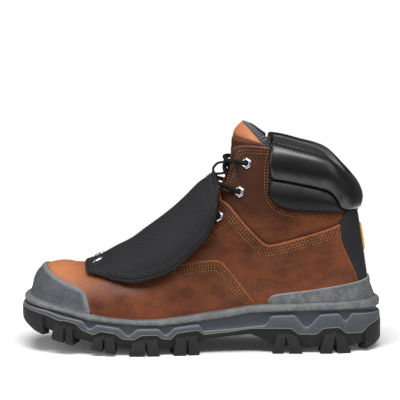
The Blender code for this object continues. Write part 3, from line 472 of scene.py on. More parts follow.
def hue(code):
    # Linear colour of a screen colour.
    values = [int(code[i:i + 2], 16) / 255 for i in (0, 2, 4)]
    return tuple(v / 12.92 if v <= 0.04045 else ((v + 0.055) / 1.055) ** 2.4 for v in values)


leather = {
    "dark": "371b10", "mid": "5f331e", "warm": "7b4226", "edge": "a35d35", "light": "c98055",
    "shaftShadeTone": "1c100b", "shade": "23120b", "slant": 38, "grain": 0.95, "grainDepth": 0.14,
}


def brownLeather():
    finish = Finish("brownLeather", Specular_IOR_Level=0.26)
    large = finish.noise(62, 3, 0.55)
    patch = finish.noise(24, 4, 0.6)
    fine = finish.noise(3.2, 4, 0.65)
    mottle = finish.noise(8, 4, 0.6, finish.turned((0, 0.5, 0), (0.55, 1, 1)))
    cloud = large * 0.4 + patch * 0.35 + mottle * 0.25
    colour = finish.ramp(cloud, (0.34, leather["dark"]), (0.47, leather["mid"]), (0.62, leather["warm"]))
    # Waxed leather pulls up lighter in thin slanting marks, and over the toe's top it is lighter partly by
    # pull-up and partly by a painted highlight.
    along = finish.turned((0, math.radians(leather["slant"]), 0), (1, 1, 0.14))
    across = finish.turned((0, math.radians(leather["slant"] - 90), 0), (1, 1, 0.2))
    marks = finish.step(finish.noise(2.6, 3, 0.6, along), 0.6, 0.76)
    marks = marks.most(finish.step(finish.noise(3.4, 3, 0.6, across), 0.63, 0.8))
    marks = marks * finish.step(large, 0.42, 0.62)
    # Painted shade: the shaft is painted darker than the foot.
    x, y, z = finish.parts(finish.place)
    shaftShade = finish.step(z - x * 0.3, 0.078, 0.125) * (0.5 + mottle * 0.4)
    colour = finish.mix(shaftShade, colour, leather["shaftShadeTone"])
    colour = finish.mix(marks * 0.2, colour, leather["light"])
    # Painted highlight from the mark 'light': on the toe's top, where it is partly pull-up, and on the
    # tongue's top.
    colour = finish.mix(finish.mark("light") * (0.45 + fine * 0.6), colour, leather["light"])
    colour = finish.mix(finish.step(fine, 0.48, 0.7) * 0.22, colour, leather["dark"])
    colour = finish.mix(finish.mark("edge") * (0.15 + fine), colour, leather["edge"])
    colour = finish.mix(finish.mark("shade") * 0.75, colour, leather["shade"])
    grain = finish.cells(leather["grain"], "SMOOTH_F1")
    pores = finish.noise(0.5, 2, 0.6)
    height = grain * 0.5 + pores * 0.5 + fine * 0.8
    rough = 0.4 + patch * 0.16 + marks * 0.1 - finish.mark("edge") * 0.06
    return finish.set(Base_Color=colour, Roughness=rough, Normal=finish.bump(height, leather["grainDepth"]))


def darkLining():
    finish = Finish("darkLining", Roughness=0.9, Sheen_Weight=0.25, Sheen_Roughness=0.5)
    one, two = finish.crossed(400, 225)
    knot = one.least(two)
    ridge = finish.step(knot, 0.14, 0.42)
    fine = finish.noise(0.7, 2)
    colour = finish.mix(ridge * (0.55 + fine * 0.7), "0d0d0e", "626366")
    return finish.set(Base_Color=colour, Normal=finish.bump(1 - ridge + fine * 0.3, 0.35))


def paddedBlack():
    finish = Finish("paddedBlack", Specular_IOR_Level=0.3, Coat_Roughness=0.34)
    grain = finish.cells(0.7, "SMOOTH_F1")
    fine = finish.noise(0.4, 2)
    broad = finish.noise(20, 3)
    colour = finish.mix(broad, "070708", "101012")
    colour = finish.mix(finish.mark("shade") * 0.9, colour, "050505")
    rough = 0.34 + broad * 0.1 + finish.mark("dull") * 0.14 + finish.mark("shade") * 0.2
    height = grain * 0.6 + fine * 0.4
    coat = 0.75 + broad * 0.2 - finish.mark("dull") * 0.8
    return finish.set(Base_Color=colour, Roughness=rough, Coat_Weight=coat, Normal=finish.bump(height, 0.03))


def guardWeave():
    finish = Finish("guardWeave", Specular_IOR_Level=0.2)
    one, two = finish.crossed(500, 500)
    knob = finish.step(one * two, 0.04, 0.55)
    fine = finish.noise(0.5, 2)
    broad = finish.noise(26, 3)
    plain = finish.mark("plain")
    knob = knob * (1 - plain)
    colour = finish.mix(knob, "121214", "3d3d42")
    colour = finish.mix(plain, colour, "232325")
    colour = finish.mix(broad * 0.3, colour, "141416")
    colour = finish.mix(finish.mark("shade") * 0.8, colour, "0c0c0d")
    rough = 0.66 - knob * 0.14 + fine * 0.1
    return finish.set(Base_Color=colour, Roughness=rough, Normal=finish.bump(knob + fine * 0.15, 0.28))


def mouldedGrey():
    # Sandblasted where the mark "blast" is set, smoother and bluer where it isn't.
    finish = Finish("mouldedGrey", Specular_IOR_Level=0.25)
    speck = finish.noise(0.6, 3, 0.7)
    broad = finish.noise(22, 4, 0.6)
    blast = finish.mark("blast")
    smooth = finish.mix(broad, "31353c", "444850")
    rough = finish.ramp(speck, (0.36, "434547"), (0.5, "626466"), (0.64, "94928f"))
    patch = finish.noise(9, 4, 0.65)
    rough = finish.mix(finish.step(patch, 0.42, 0.62) * 0.5, rough, "42464b")
    colour = finish.mix(blast, smooth, rough)
    # Painted highlight along beads, rims and rib edges from the mark 'edge', and painted shade in recesses
    # from the mark 'shade'.
    colour = finish.mix(finish.mark("edge") * 0.6, colour, "8b8f92")
    colour = finish.mix(finish.mark("shade") * 0.75, colour, "26282b")
    height = speck * (0.15 + blast * 0.85)
    gloss = 0.5 + blast * 0.24 + broad * 0.1
    return finish.set(Base_Color=colour, Roughness=gloss, Normal=finish.bump(height, 0.2))


def treadRubber():
    finish = Finish("treadRubber", Specular_IOR_Level=0.22)
    fine = finish.noise(0.8, 3)
    broad = finish.noise(16, 4, 0.6)
    colour = finish.mix(broad, "121213", "222223")
    colour = finish.mix(finish.mark("edge") * (0.3 + fine * 0.5), colour, "454341")
    return finish.set(Base_Color=colour, Roughness=0.56 + fine * 0.25, Normal=finish.bump(fine, 0.08))


def ribbedPatch():
    finish = Finish("ribbedPatch", Roughness=0.75, Specular_IOR_Level=0.25)
    x, y, z = finish.parts(finish.place)
    rib = (x * 420 + y * 150 + z * 520).wave()
    cross = (x * 500 - z * 300).wave()
    fine = finish.noise(0.6, 2)
    height = finish.step(rib, 0.15, 0.7) * (0.7 + cross * 0.3)
    colour = finish.mix(height * (0.5 + fine * 0.7), "0f0f11", "36363a")
    colour = finish.mix(finish.mark("edge") * 0.7, colour, "2a2a2c")
    return finish.set(Base_Color=colour, Normal=finish.bump(height + fine * 0.2, 0.3))


def thread(name, pale, dark):
    finish = Finish(name, Roughness=0.75, Specular_IOR_Level=0.25)
    fine = finish.noise(0.35, 2)
    broad = finish.noise(12, 2)
    colour = finish.mix(finish.step(fine * 0.5 + broad * 0.5, 0.35, 0.65), dark, pale)
    return finish.set(Base_Color=colour, Normal=finish.bump(fine, 0.08))


def polishedMetal():
    finish = Finish("polishedMetal", Metallic=1)
    fine = finish.noise(1.6, 3, at=finish.turned((0.3, 0.5, 0), (1, 6, 1)))
    broad = finish.noise(3, 2)
    colour = finish.mix(broad, "b4b4b2", "dedddb")
    return finish.set(Base_Color=colour, Roughness=0.2 + fine * 0.2, Normal=finish.bump(fine, 0.02))


def braidedLace():
    finish = Finish("braidedLace", Roughness=0.7, Specular_IOR_Level=0.2)
    one, two = finish.crossed(560, 4)
    knot = finish.step(one.most(two), 0.45, 0.95)
    fine = finish.noise(0.4, 2)
    colour = finish.mix(knot * (0.4 + fine * 0.6), "040404", "1c1c1e")
    return finish.set(Base_Color=colour, Normal=finish.bump(knot + fine * 0.2, 0.22))


def footbedCloth():
    finish = Finish("footbedCloth", Roughness=0.9)
    weave = finish.cells(0.9)
    broad = finish.noise(14, 3)
    colour = finish.mix(weave * 0.6 + broad * 0.4, "26272a", "4b4d51")
    return finish.set(Base_Color=colour, Normal=finish.bump(weave, 0.25))


def plainTone(name, dark, pale, roughness, size=1):
    finish = Finish(name, Roughness=roughness)
    fine = finish.noise(size, 3)
    colour = finish.mix(fine, dark, pale)
    return finish.set(Base_Color=colour, Normal=finish.bump(fine, 0.06))


finishes = {
    "leather": brownLeather(), "lining": darkLining(), "padded": paddedBlack(), "weave": guardWeave(),
    "grey": mouldedGrey(), "tread": treadRubber(), "patch": ribbedPatch(), "metal": polishedMetal(),
    "lace": braidedLace(), "footbed": footbedCloth(), "tan": thread("tanThread", "a87748", "6e4526"),
    "black": thread("darkThread", "4a4a4c", "222223"), "pale": thread("paleThread", "9a9b9c", "5b5c5e"),
    # Needle holes are near-black discs: painted shade in the holes.
    "hole": plainTone("needleHoleShade", "0c0604", "1c0f09", 0.9),
    "parting": plainTone("partingLine", "5c5850", "8c867a", 0.7),
    "tab": plainTone("pullTab", "c79a12", "e0b62a", 0.6),
}
print("finishes made", len(finishes))


# Making, trimming and keeping pieces.
def makeMesh(name, points, faces, finish, marks=None, uv=None, slots=None, sharp=50):
    mesh = bpy.data.meshes.new(name)
    mesh.from_pydata((np.asarray(points) * mm).tolist(), [], [list(map(int, face)) for face in faces])
    for item in finish:
        mesh.materials.append(finishes[item])
    if slots is not None:
        mesh.polygons.foreach_set("material_index", np.asarray(slots, np.int32))
    if uv is not None:
        corners = np.empty(len(mesh.loops), np.int32)
        mesh.loops.foreach_get("vertex_index", corners)
        mesh.uv_layers.new(name="surface").data.foreach_set("uv", (np.asarray(uv)[corners] * mm).ravel())
    for key, values in (marks or {}).items():
        values = np.clip(np.asarray(values, float), 0, 1)
        mesh.attributes.new(key, "FLOAT", "POINT").data.foreach_set("value", values)
    mesh.shade_smooth()
    mesh.set_sharp_from_angle(angle=math.radians(sharp))
    return added(name, mesh)


def turnOut(piece):
    # Faces of a closed piece turned outwards.
    bm = bmesh.new()
    bm.from_mesh(piece.data)
    bmesh.ops.recalc_face_normals(bm, faces=bm.faces[:])
    bm.to_mesh(piece.data)
    bm.free()


def keep(piece, slot, *nodes):
    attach(piece, "root")
    if nodes:
        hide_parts(*nodes)
    return piece


def edgeDistance(spots, outline):
    # Distance of side-view spots from a closed outline, positive inside, and the way inwards.
    best = np.full(len(spots), 1e9)
    near = np.zeros_like(spots)
    inside = np.zeros(len(spots), bool)
    for start, end in zip(outline, np.roll(outline, -1, 0)):
        along = end - start
        share = np.clip((spots - start) @ along / max(along @ along, 1e-9), 0, 1)
        foot = start + share[:, None] * along
        gap = np.linalg.norm(spots - foot, axis=1)
        closer = gap < best
        best[closer] = gap[closer]
        near[closer] = foot[closer]
        if abs(along[1]) > 1e-9:
            crosses = (start[1] > spots[:, 1]) != (end[1] > spots[:, 1])
            inside ^= crosses & (spots[:, 0] < start[0] + (spots[:, 1] - start[1]) * along[0] / along[1])
    sign = np.where(inside, 1, -1)
    return best * sign, unit(spots - near) * sign[:, None]


def rounded(outline, reach=5, turns=3, closed=True):
    # Outline with its corners cut round, no further from each corner than the reach.
    points = np.asarray(outline, float)
    for turn in range(turns):
        after = np.roll(points, -1, 0)
        step = after - points
        length = np.maximum(np.linalg.norm(step, axis=1, keepdims=True), 1e-9)
        cut = np.minimum(reach / (1.6 ** turn), 0.28 * length) / length
        both = np.stack([points + step * cut, after - step * cut], 1).reshape(-1, points.shape[1])
        points = both if closed else np.concatenate([points[:1], both[1:-3], points[-1:]])
    return points


def boundaryEdges(faces):
    # Edges that only one face uses, in that face's own turn.
    used = {}
    for face in faces:
        for a, b in zip(face, np.roll(face, -1)):
            if a != b:
                key = (min(a, b), max(a, b))
                used[key] = None if key in used else (a, b)
    return np.array([edge for edge in used.values() if edge])


def edgeDirections(points, normals, edges):
    # For every boundary point, the way off the sheet along its surface.
    out = np.zeros_like(points)
    step = points[edges[:, 1]] - points[edges[:, 0]]
    away = unit(np.cross(step, normals[edges[:, 0]]))
    np.add.at(out, edges[:, 0], away)
    np.add.at(out, edges[:, 1], away)
    out -= np.sum(out * normals, 1, keepdims=True) * normals
    return unit(out)


def shellOf(points, normals, faces, outer, inner, radius, rings=4):
    # Closed shell with a rounded rim: outer and inner are heights along the normals.
    edges = boundaryEdges(faces.tolist())
    out = edgeDirections(points, normals, edges)
    count = len(points)
    rim, place = np.unique(edges, return_inverse=True)
    place = place.reshape(-1, 2)
    height = outer[rim][:, None]
    low = inner[rim][:, None]
    radius = np.minimum(radius, (height - low) * 0.9)
    base, up, off = points[rim], normals[rim], out[rim]
    layers = [points + normals * outer[:, None], points + normals * inner[:, None]]
    for ring in range(1, rings + 1):
        turn = math.pi / 2 * ring / rings
        layers.append(base + off * radius * math.sin(turn) + up * (height - radius * (1 - math.cos(turn))))
    layers.append(base + off * radius + up * low)
    strips = [edges] + [place + 2 * count + ring * len(rim) for ring in range(rings + 1)] + [edges + count]
    made = [faces, faces[:, ::-1] + count]
    for one, two in zip(strips, strips[1:]):
        made.append(np.stack([one[:, 1], one[:, 0], two[:, 0], two[:, 1]], 1))
    source = np.concatenate([np.arange(count), np.arange(count), np.tile(rim, rings + 1)])
    isRim = np.concatenate([np.zeros(2 * count), np.ones(len(rim) * (rings + 1))])
    isInner = np.concatenate([np.zeros(len(faces)), np.ones(len(faces)), np.zeros(len(edges) * (rings + 2))])
    return np.concatenate(layers), np.concatenate(made), source, isRim, isInner


# Creases of a worn-in boot, each a soft trough in side view: x, z pairs, width, depth.
creases = [
    (((-128, 66), (-117, 60.6), (-104, 56.2), (-98, 51)), 1.6, 0.35),
    (((-70, 60), (-52, 55), (-36, 56)), 5, 0.5),
    (((-50, 44), (-30, 48), (-8, 46)), 5.5, 0.5),
    (((-12, 60), (6, 56), (22, 60)), 5, 0.45),
    (((38, 74), (52, 68), (70, 70), (86, 66)), 5, 0.55),
    (((60, 84), (78, 82), (98, 88)), 4.5, 0.4),
    (((58, 50.6), (80, 53.6), (104, 58.4), (130, 63.4)), 1.3, 0.6),
    (((30, 122), (44, 112), (60, 108)), 5, 0.5),
    (((46, 150), (52, 140), (50, 128)), 4, 0.35),
]


def creaseRelief(points):
    relief = np.zeros(len(points))
    spots = points[:, [0, 2]]
    for path, width, depth in creases:
        path = rounded(path, 8, 3, closed=False)
        best = np.full(len(points), 1e9)
        for start, end in zip(path, path[1:]):
            along = end - start
            share = np.clip((spots - start) @ along / (along @ along), 0, 1)
            best = np.minimum(best, np.linalg.norm(spots - start - share[:, None] * along, axis=1))
        ends = np.minimum(np.linalg.norm(spots - path[0], axis=1), np.linalg.norm(spots - path[-1], axis=1))
        fade = smoothStep(ends / 8)
        relief += depth * fade * (0.45 * bell(best, 1.9 * width, width) - bell(best, 0, width))
    return relief


def toePullUpAndHighlight(points):
    # The toe's top is lighter partly by pull-up over the stretched leather and partly by a painted highlight.
    return smoothStep((-62 - points[:, 0]) / 60) * smoothStep((points[:, 2] - 45) / 22)


def neighbours(faces, chosen, count):
    # The two points beside each chosen one on the sheet's boundary, or the point itself inside it.
    near = np.arange(count)[:, None].repeat(2, 1)
    edges = boundaryEdges(faces.tolist())
    near[edges[:, 0], 0] = edges[:, 1]
    near[edges[:, 1], 1] = edges[:, 0]
    return near[chosen]


# Snapping to an outline: depth inside that stays, turns, longest step, least slope.
snap = {"inside": 0.4, "turns": 7, "step": 3, "slope": 0.15}


def trimmed(outline, radius, side=0, holes=()):
    # The part of the last inside an outline, its edge snapped to the outline less a rim radius.
    faces = last["faces"] if side == 0 else last["faces"][last["sides"] == side]

    def measure(places):
        gap, way = edgeDistance(places[:, [0, 2]], outline)
        way = np.stack([way[:, 0], np.zeros(len(way)), way[:, 1]], 1)
        for centre, hole in holes:
            off = places - centre
            far = np.linalg.norm(off, axis=1) - hole
            nearer = far < gap
            gap = np.where(nearer, far, gap)
            way[nearer] = unit(off)[nearer]
        return gap - radius, way

    gap = measure(last["points"])[0]
    kept = faces[(gap[faces] > snap["inside"]).any(1)]
    used, index = np.unique(kept, return_inverse=True)
    kept = index.reshape(kept.shape)
    points, normals = last["points"][used].copy(), last["normals"][used]
    moved = np.flatnonzero(gap[used] <= snap["inside"])
    near = neighbours(kept, moved, len(points))
    for turn in range(snap["turns"]):
        if 0 < turn < snap["turns"] - 1:
            points[moved] = points[moved] * 0.5 + points[near].mean(1) * 0.5
        gap, way = measure(points[moved])
        up = normals[moved]
        way -= np.sum(way * up, 1, keepdims=True) * up
        length = np.sum(way * way, 1)
        step = np.clip(-gap / np.maximum(length, snap["slope"]), -snap["step"], snap["step"])[:, None] * way
        for row, place in zip(moved, points[moved] + step):
            points[row] = lastTree.find_nearest(place)[0]
    return points, normals, kept, last["uv"][used]


def buildPanel(name, outline, panel, side=0, holes=()):
    points, normals, faces, uv = trimmed(outline, panel["rim"], side, holes)
    distance = edgeDistance(points[:, [0, 2]], outline)[0]
    inner = np.full(len(points), panelGap)
    outer = inner + panel["thick"] + creaseRelief(points) * panel.get("crease", 0)
    if "shape" in panel:
        outer = outer + panel["shape"](points, distance)
    light = toePullUpAndHighlight(points)
    points, faces, source, isRim, isInner = shellOf(points, normals, faces, outer, inner, panel["rim"])
    # The mark 'edge' lightens the rim: burnished leather edges, the heel patch's smooth band, and a painted
    # highlight on the grey rubber pieces.
    near = bell(distance[source], 0, panel.get("edgeWidth", 1.5))
    marks = {"edge": np.maximum(near, isRim), "light": light[source] * (1 - isRim)}
    for key, value in panel.get("marks", {}).items():
        marks[key] = value(points, distance[source]) if callable(value) else np.full(len(points), value)
    piece = makeMesh(name, points, faces, [panel["finish"]], marks, uv[source])
    return keep(piece, panel["slot"], name)


def shifted(table, dx, dz=0):
    return [(x + dx, z + dz) for x, z in table]


def lipEdge(start, end, steps, lift=-1.4):
    xs = [start + (end - start) * i / steps for i in range(steps + 1)]
    return [(x, levelAt(lipTop, x) + lift) for x in xs]


def panelOutlines():
    gap = 2 * shape["touch"]
    bumper = [(-165, 76)] + bumperEdge[:-1] + lipEdge(-91.5, -165, 8)
    vamp = shifted(bumperEdge[:-1], -1) + lipEdge(-90.5, 45, 8)
    vamp += list(reversed(vampEdge[:-1])) + [(-60, 112)]
    front = shifted(list(reversed(vampEdge[:-1])), -6, -5)
    front[-1] = (front[-1][0] - 2 * gap, 150)
    rear = shifted(patchEdge, 1.5)
    rear[0] = (rear[0][0] - 1, 109.3)
    cup = [(x, z - 1.5) for x, z in cupTop if x < rear[-1][0]]
    quarter = front + quarterEdge + rear[1:-1]
    quarter += [(rear[-1][0], levelAt(cupTop, rear[-1][0]) - 1.5)]
    quarter += list(reversed(cup)) + lipEdge(cup[0][0] - 1, 40, 2)
    patch = patchEdge[:-1] + [(patchEdge[-1][0], levelAt(cupTop, patchEdge[-1][0]) - 2)]
    patch += [(160, levelAt(cupTop, 160) - 2), (160, 118.5), (121.5, 118.5)]
    cup = cupTop[1:] + lipEdge(160, 54.5, 6)
    return {
        "bumper": rounded(bumper, 3), "vamp": rounded(vamp, 4), "quarter": rounded(quarter, 4, 3),
        "patch": rounded(patch, 3), "cup": rounded(cup, 2),
    }


outlines = panelOutlines()


def bumperShape(points, distance):
    # A raised bead follows the bumper's back edge, and the field inside it is a little hollow.
    low = smoothStep((points[:, 2] - lineAt(lipTop, points[:, 0]) - 2) / 4)
    bead = bell(distance, 1.7, 1.25)
    field = smoothStep((distance - 2.6) / 3)
    return (0.35 * bead - 0.75 * field) * low


# Painted highlight along the raised bead at the bumper's back edge.
def bumperBeadHighlight(points, distance):
    return bell(distance, 1.7, 1.5) * 0.75


def bumperField(points, distance):
    return 0.3 + 0.5 * bell(distance, 1, 2.2)


def cupShape(points, distance):
    # The cup leans out towards the sole and its front end slopes away.
    low = lineAt(lipTop, points[:, 0])
    share = np.clip((points[:, 2] - low) / 10, 0, 1)
    front = smoothStep((points[:, 0] - 54) / 7)
    return (1.6 * (1 - share) + 0.3) * front - 1.4 * (1 - front)


panels = {
    "vamp_panel": {"thick": 1.5, "rim": 0.75, "finish": "leather", "slot": "brown_leather", "crease": 1},
    "quarter_panel": {"thick": 1.3, "rim": 0.75, "finish": "leather", "slot": "brown_leather", "crease": 1},
    "toe_bumper": {
        "thick": 3, "rim": 1.1, "finish": "grey", "slot": "midsole_grey", "shape": bumperShape,
        "edgeWidth": 0.01, "marks": {"blast": bumperField, "edge": bumperBeadHighlight, "light": 0},
    },
    "heel_cup": {
        "thick": 2.6, "rim": 1, "finish": "grey", "slot": "midsole_grey", "shape": cupShape,
        "edgeWidth": 0.8, "marks": {"blast": 1, "light": 0},
    },
    "heel_patch": {"thick": 1.4, "rim": 0.7, "finish": "patch", "slot": "dark_weave", "edgeWidth": 1.6},
}
panelGap = 0.2

# Eyelets of one side, top to bottom: x, z, seat above the upper.
eyelet = {
    "across": 10, "hole": 4.4, "seat": 1, "around": 48,
    "places": [(37.8, 158.6, 0), (31.9, 134.7, 0), (15, 113.6, 1.8), (-4, 97.5, 1.8)],
}


def sideSpot(tree, side, x, z):
    # The place and outward way where a side view's spot lies on a tree.
    place, normal = tree.ray_cast(Vector((x, side * 150, z)), Vector((0, -side, 0)))[:2]
    return place, (normal if normal.y * side > 0 else -normal)


def eyeletPlaces():
    spots = {}
    for side, word in ((-1, "lateral"), (1, "medial")):
        for number, (x, z, seat) in enumerate(eyelet["places"], start=1):
            place, normal = sideSpot(lastTree, side, x, z)
            spots[f"{word}_{number}"] = (side, place + normal * seat, normal)
    return spots


eyelets = eyeletPlaces()


def eyeletHoles(*numbers):
    radius = eyelet["hole"] / 2 + 0.5
    return [(np.array(eyelets[name][1]), radius) for name in eyelets if int(name[-1]) in numbers]


def buildUpper():
    # Brown outside, dark lining inside, round at the throat and the collar.
    far = 400
    everything = np.array([(-far, -far), (far, -far), (far, far), (-far, far)])
    points, normals, faces, uv = trimmed(everything, 0, 0, eyeletHoles(1, 2, 3, 4))
    outer = creaseRelief(points)
    inner = np.full(len(points), -shape["wall"])
    shade = np.zeros(len(points))
    for name in ("quarter", "vamp"):
        away = -edgeDistance(points[:, [0, 2]], outlines[name])[0]
        shade = np.maximum(shade, np.where(away > 0, bell(away, 0, 1.8), 0))
    light = toePullUpAndHighlight(points)
    points, faces, source, isRim, isInner = shellOf(points, normals, faces, outer, inner, 0.9)
    marks = {"edge": isRim, "shade": shade[source], "light": light[source]}
    piece = makeMesh("upper", points, faces, ["leather", "lining"], marks, uv[source], isInner)
    return keep(piece, "brown_leather", "upper")


buildUpper()
buildPanel("vamp_panel", outlines["vamp"], panels["vamp_panel"])
for side, word in ((-1, "lateral"), (1, "medial")):
    buildPanel("quarter_panel_" + word, outlines["quarter"], panels["quarter_panel"], side, eyeletHoles(3, 4))
for name, outline in (("toe_bumper", "bumper"), ("heel_patch", "patch"), ("heel_cup", "cup")):
    buildPanel(name, outlines[outline], panels[name])
print("upper and panels built")


# The sole: rings round the plan, each with its own inset and height.
# Step round the plan, how much closer at its round ends, and rounding of the side's lines.
soleGrid = {"step": 0.8, "round": 0.35, "corner": 1}
# Side lugs, both sides: first x, last x, notch's centre x, notch's half width, proud reach, taper.
sideLugs = [
    (-124.5, -107, -114, 1, 1.8, 0.4), (-91.5, -71.5, -81.2, 1.1, 2.6, 0.4), (-60, -35, -46, 1.4, 2.8, 0.4),
    (-23, -2, -12, 1.2, 2.8, 0.4), (59.5, 84.5, 71, 2.6, 2.4, 0.8), (99.5, 124.5, 111.8, 2.4, 2.4, 0.8),
]
# Plain blocks that wrap the toe and the heel: first x, last x, proud reach.
endBlocks = [(-152.3, -133, 0.3), (138.5, 152.4, 0.3)]
# Centre lugs: x, y, radius.
centreLugs = [
    (-118, 4, 11), (-97, 3, 12), (-64, 1.5, 13), (-29, -1.5, 12), (91, -0.5, 10), (116, 0, 10),
]
# Peak and notch shape the notch under a side lug, and crown is its height's share of the tread's wall.
lug = {
    "depthIn": 24, "bevel": 0.5, "bevelled": 0.9, "peak": 0.4, "notch": 0.74, "crown": 0.82,
    "blockSteps": 14, "blockDepth": 9,
}


def soleStations():
    # Places round the plan with the way inwards at each, closer together at the round ends.
    turn = np.linspace(0, math.pi, int(shape["soleLength"] / soleGrid["step"]) + 1)
    even = np.linspace(0, 1, len(turn))
    share = soleGrid["round"] * (0.5 - 0.5 * np.cos(turn)) + (1 - soleGrid["round"]) * even
    xs = toeTip[0] + share * shape["soleLength"]
    places, ways = [], []
    for side, line in ((-1, xs), (1, xs[-2:0:-1])):
        for x in line:
            place = railSpot(side, x, 0)
            places.append(place)
            ways.append(railSpot(side, x, 1) - place)
    return np.array(places), np.array(ways)


solePlaces, soleWays = soleStations()
soft = {
    name: rounded(line, soleGrid["corner"], 3, closed=False)
    for name, line in (("parting", partingLine), ("rib", ribLine), ("low", lipBottom), ("top", lipTop),
                       ("seat", seatLine), ("body", bodyLine))
}


def soleHeight(name):
    return np.interp(solePlaces[:, 0], soft[name][:, 0], soft[name][:, 1])


def soleRings(levels):
    rings = []
    for inset, height in levels:
        plan = solePlaces + soleWays * np.reshape(inset, (-1, 1))
        rings.append(np.column_stack([plan, np.broadcast_to(height, len(plan))]))
    return np.array(rings)


def ringFaces(levels, count, closed=False):
    faces = []
    for level in range(levels if closed else levels - 1):
        low = np.arange(count) + level * count
        high = np.arange(count) + (level + 1) % levels * count
        faces.append(np.stack([low, np.roll(low, -1), np.roll(high, -1), high], 1))
    return np.concatenate(faces)


def cappedFaces(levels, count):
    # Stacked rings closed by one face at each end.
    ends = [list(range(count))[::-1], [(levels - 1) * count + i for i in range(count)]]
    return ringFaces(levels, count).tolist() + ends


def capFaces(start, count, up):
    # A level ring closed by strips between its two sides.
    half = count // 2
    faces = [(0, 1, count - 1), (half, half + 1, half - 1)]
    faces += [(i, i + 1, count - i - 1, count - i) for i in range(1, half - 1)]
    faces = [[start + i for i in face] for face in faces]
    return faces if up else [face[::-1] for face in faces]


def buildMidsole():
    parting, rib, low = soleHeight("parting"), soleHeight("rib"), soleHeight("low")
    top, seat = soleHeight("top"), soleHeight("seat")
    heel = smoothStep((solePlaces[:, 0] - 40) / 18) * 0.8
    # The recess runs from deep to high, between the ribs and the lip.
    deep, high = rib + 0.8, np.maximum(low - 0.7, rib + 1)
    # Inset, height, sandblasting, painted edge highlight, painted shade.
    levels = [
        (6, parting, 0.1, 0, 0), (0.2, parting, 0.1, 0, 0), (0.2, parting * 0.5 + rib * 0.5, 0.2, 0, 0),
        (0.5, rib - 0.7, 0.2, 0.1, 0), (0.75, rib - 0.25, 0.2, 0.8, 0), (1.2, rib + 0.1, 0.2, 0.8, 0),
        (2, rib + 0.35, 0.1, 0.2, 0), (2.9, rib + 0.6, 0, 0, 0.1), (3.2, deep, 0, 0, 0.2),
        (3.3, deep * 0.5 + high * 0.5, 0, 0, 0.25), (3.2, high, 0.1, 0, 0.5), (2.7, low - 0.25, 0.3, 0, 0.4),
        (1.9 - heel, low + 0.2, 0.8, 0, 0.1), (1.5 - heel, low + 0.9, 1, 0.1, 0),
        (1.45 - heel, low * 0.5 + top * 0.5, 1, 0.1, 0), (1.8 - heel, top - 2.4, 1, 0.1, 0),
        (2.5 - heel, top - 1.5, 1, 0.3, 0), (3.6 - heel, top - 0.9, 1, 0.2, 0),
        (5.4, top - 0.45, 1, 0, 0), (7.6, top - 0.15, 1, 0, 0.4), (shape["seatInset"], top, 1, 0, 0.9),
        (shape["seatInset"], top - 2, 1, 0, 0.9), (shape["seatInset"], seat, 0.5, 0, 0.5),
    ]
    rings = soleRings([level[:2] for level in levels])
    count = rings.shape[1]
    faces = ringFaces(len(levels), count).tolist()
    faces += capFaces(0, count, False) + capFaces((len(levels) - 1) * count, count, True)
    marks = {key: np.repeat([level[2 + i] for level in levels], count)
             for i, key in enumerate(("blast", "edge", "shade"))}
    piece = makeMesh("midsole", rings.reshape(-1, 3), faces, ["grey"], marks, sharp=80)
    keep(piece, "midsole_grey", "midsole")
    wide = [(0.12, -0.42), (-0.12, -0.28), (-0.16, 0), (0, 0.2), (0.6, 0.2), (0.6, -0.42)]
    rings = soleRings([(inset, parting + rise) for inset, rise in wide])
    faces = ringFaces(len(wide), count, closed=True)
    keep(makeMesh("parting_bead", rings.reshape(-1, 3), faces, ["parting"]), "midsole_grey")


def lugLoops(side, first, last, slot, slotHalf, proud, taper):
    middle = (first + last) / 2
    places = [(first, 0), (slot - slotHalf, 0), (slot - lug["peak"], 1),
              (slot + lug["peak"], 1), (slot + slotHalf, 0), (last, 0)]
    loops = []
    for x, raised in places:
        high = x + (middle - x) * taper * abs(x - middle) / (last - first)
        body, parting = levelAt(bodyLine, high), levelAt(partingLine, high)
        crown = body + (parting - body) * lug["crown"]
        foot = levelAt(treadLine, x)
        foot += (crown - foot) * lug["notch"] * raised
        spots = [(high, 1.2, crown), (x, -proud, foot + (crown - foot) * 0.18), (x, -proud, foot),
                 (x, lug["depthIn"] - 3, foot), (high, lug["depthIn"], body + 1.5)]
        loops.append([(*railSpot(side, place, inset), z) for place, inset, z in spots])
    return loops


def blockLoops(side, first, last, proud):
    loops = []
    for x in np.linspace(first, last, lug["blockSteps"]):
        body, parting, foot = (levelAt(line, x) for line in (bodyLine, partingLine, treadLine))
        # A block gets thinner towards the tip, where the two sides meet.
        deep = min(lug["blockDepth"], abs(x - (first if first < 0 else last)) + 1.2)
        spots = [(0.3, parting - 0.7), (-proud, parting - 1.6), (-proud, foot), (deep, foot),
                 (deep, body + 1.5)]
        loops.append([(*railSpot(side, x, inset), z) for inset, z in spots])
    return loops


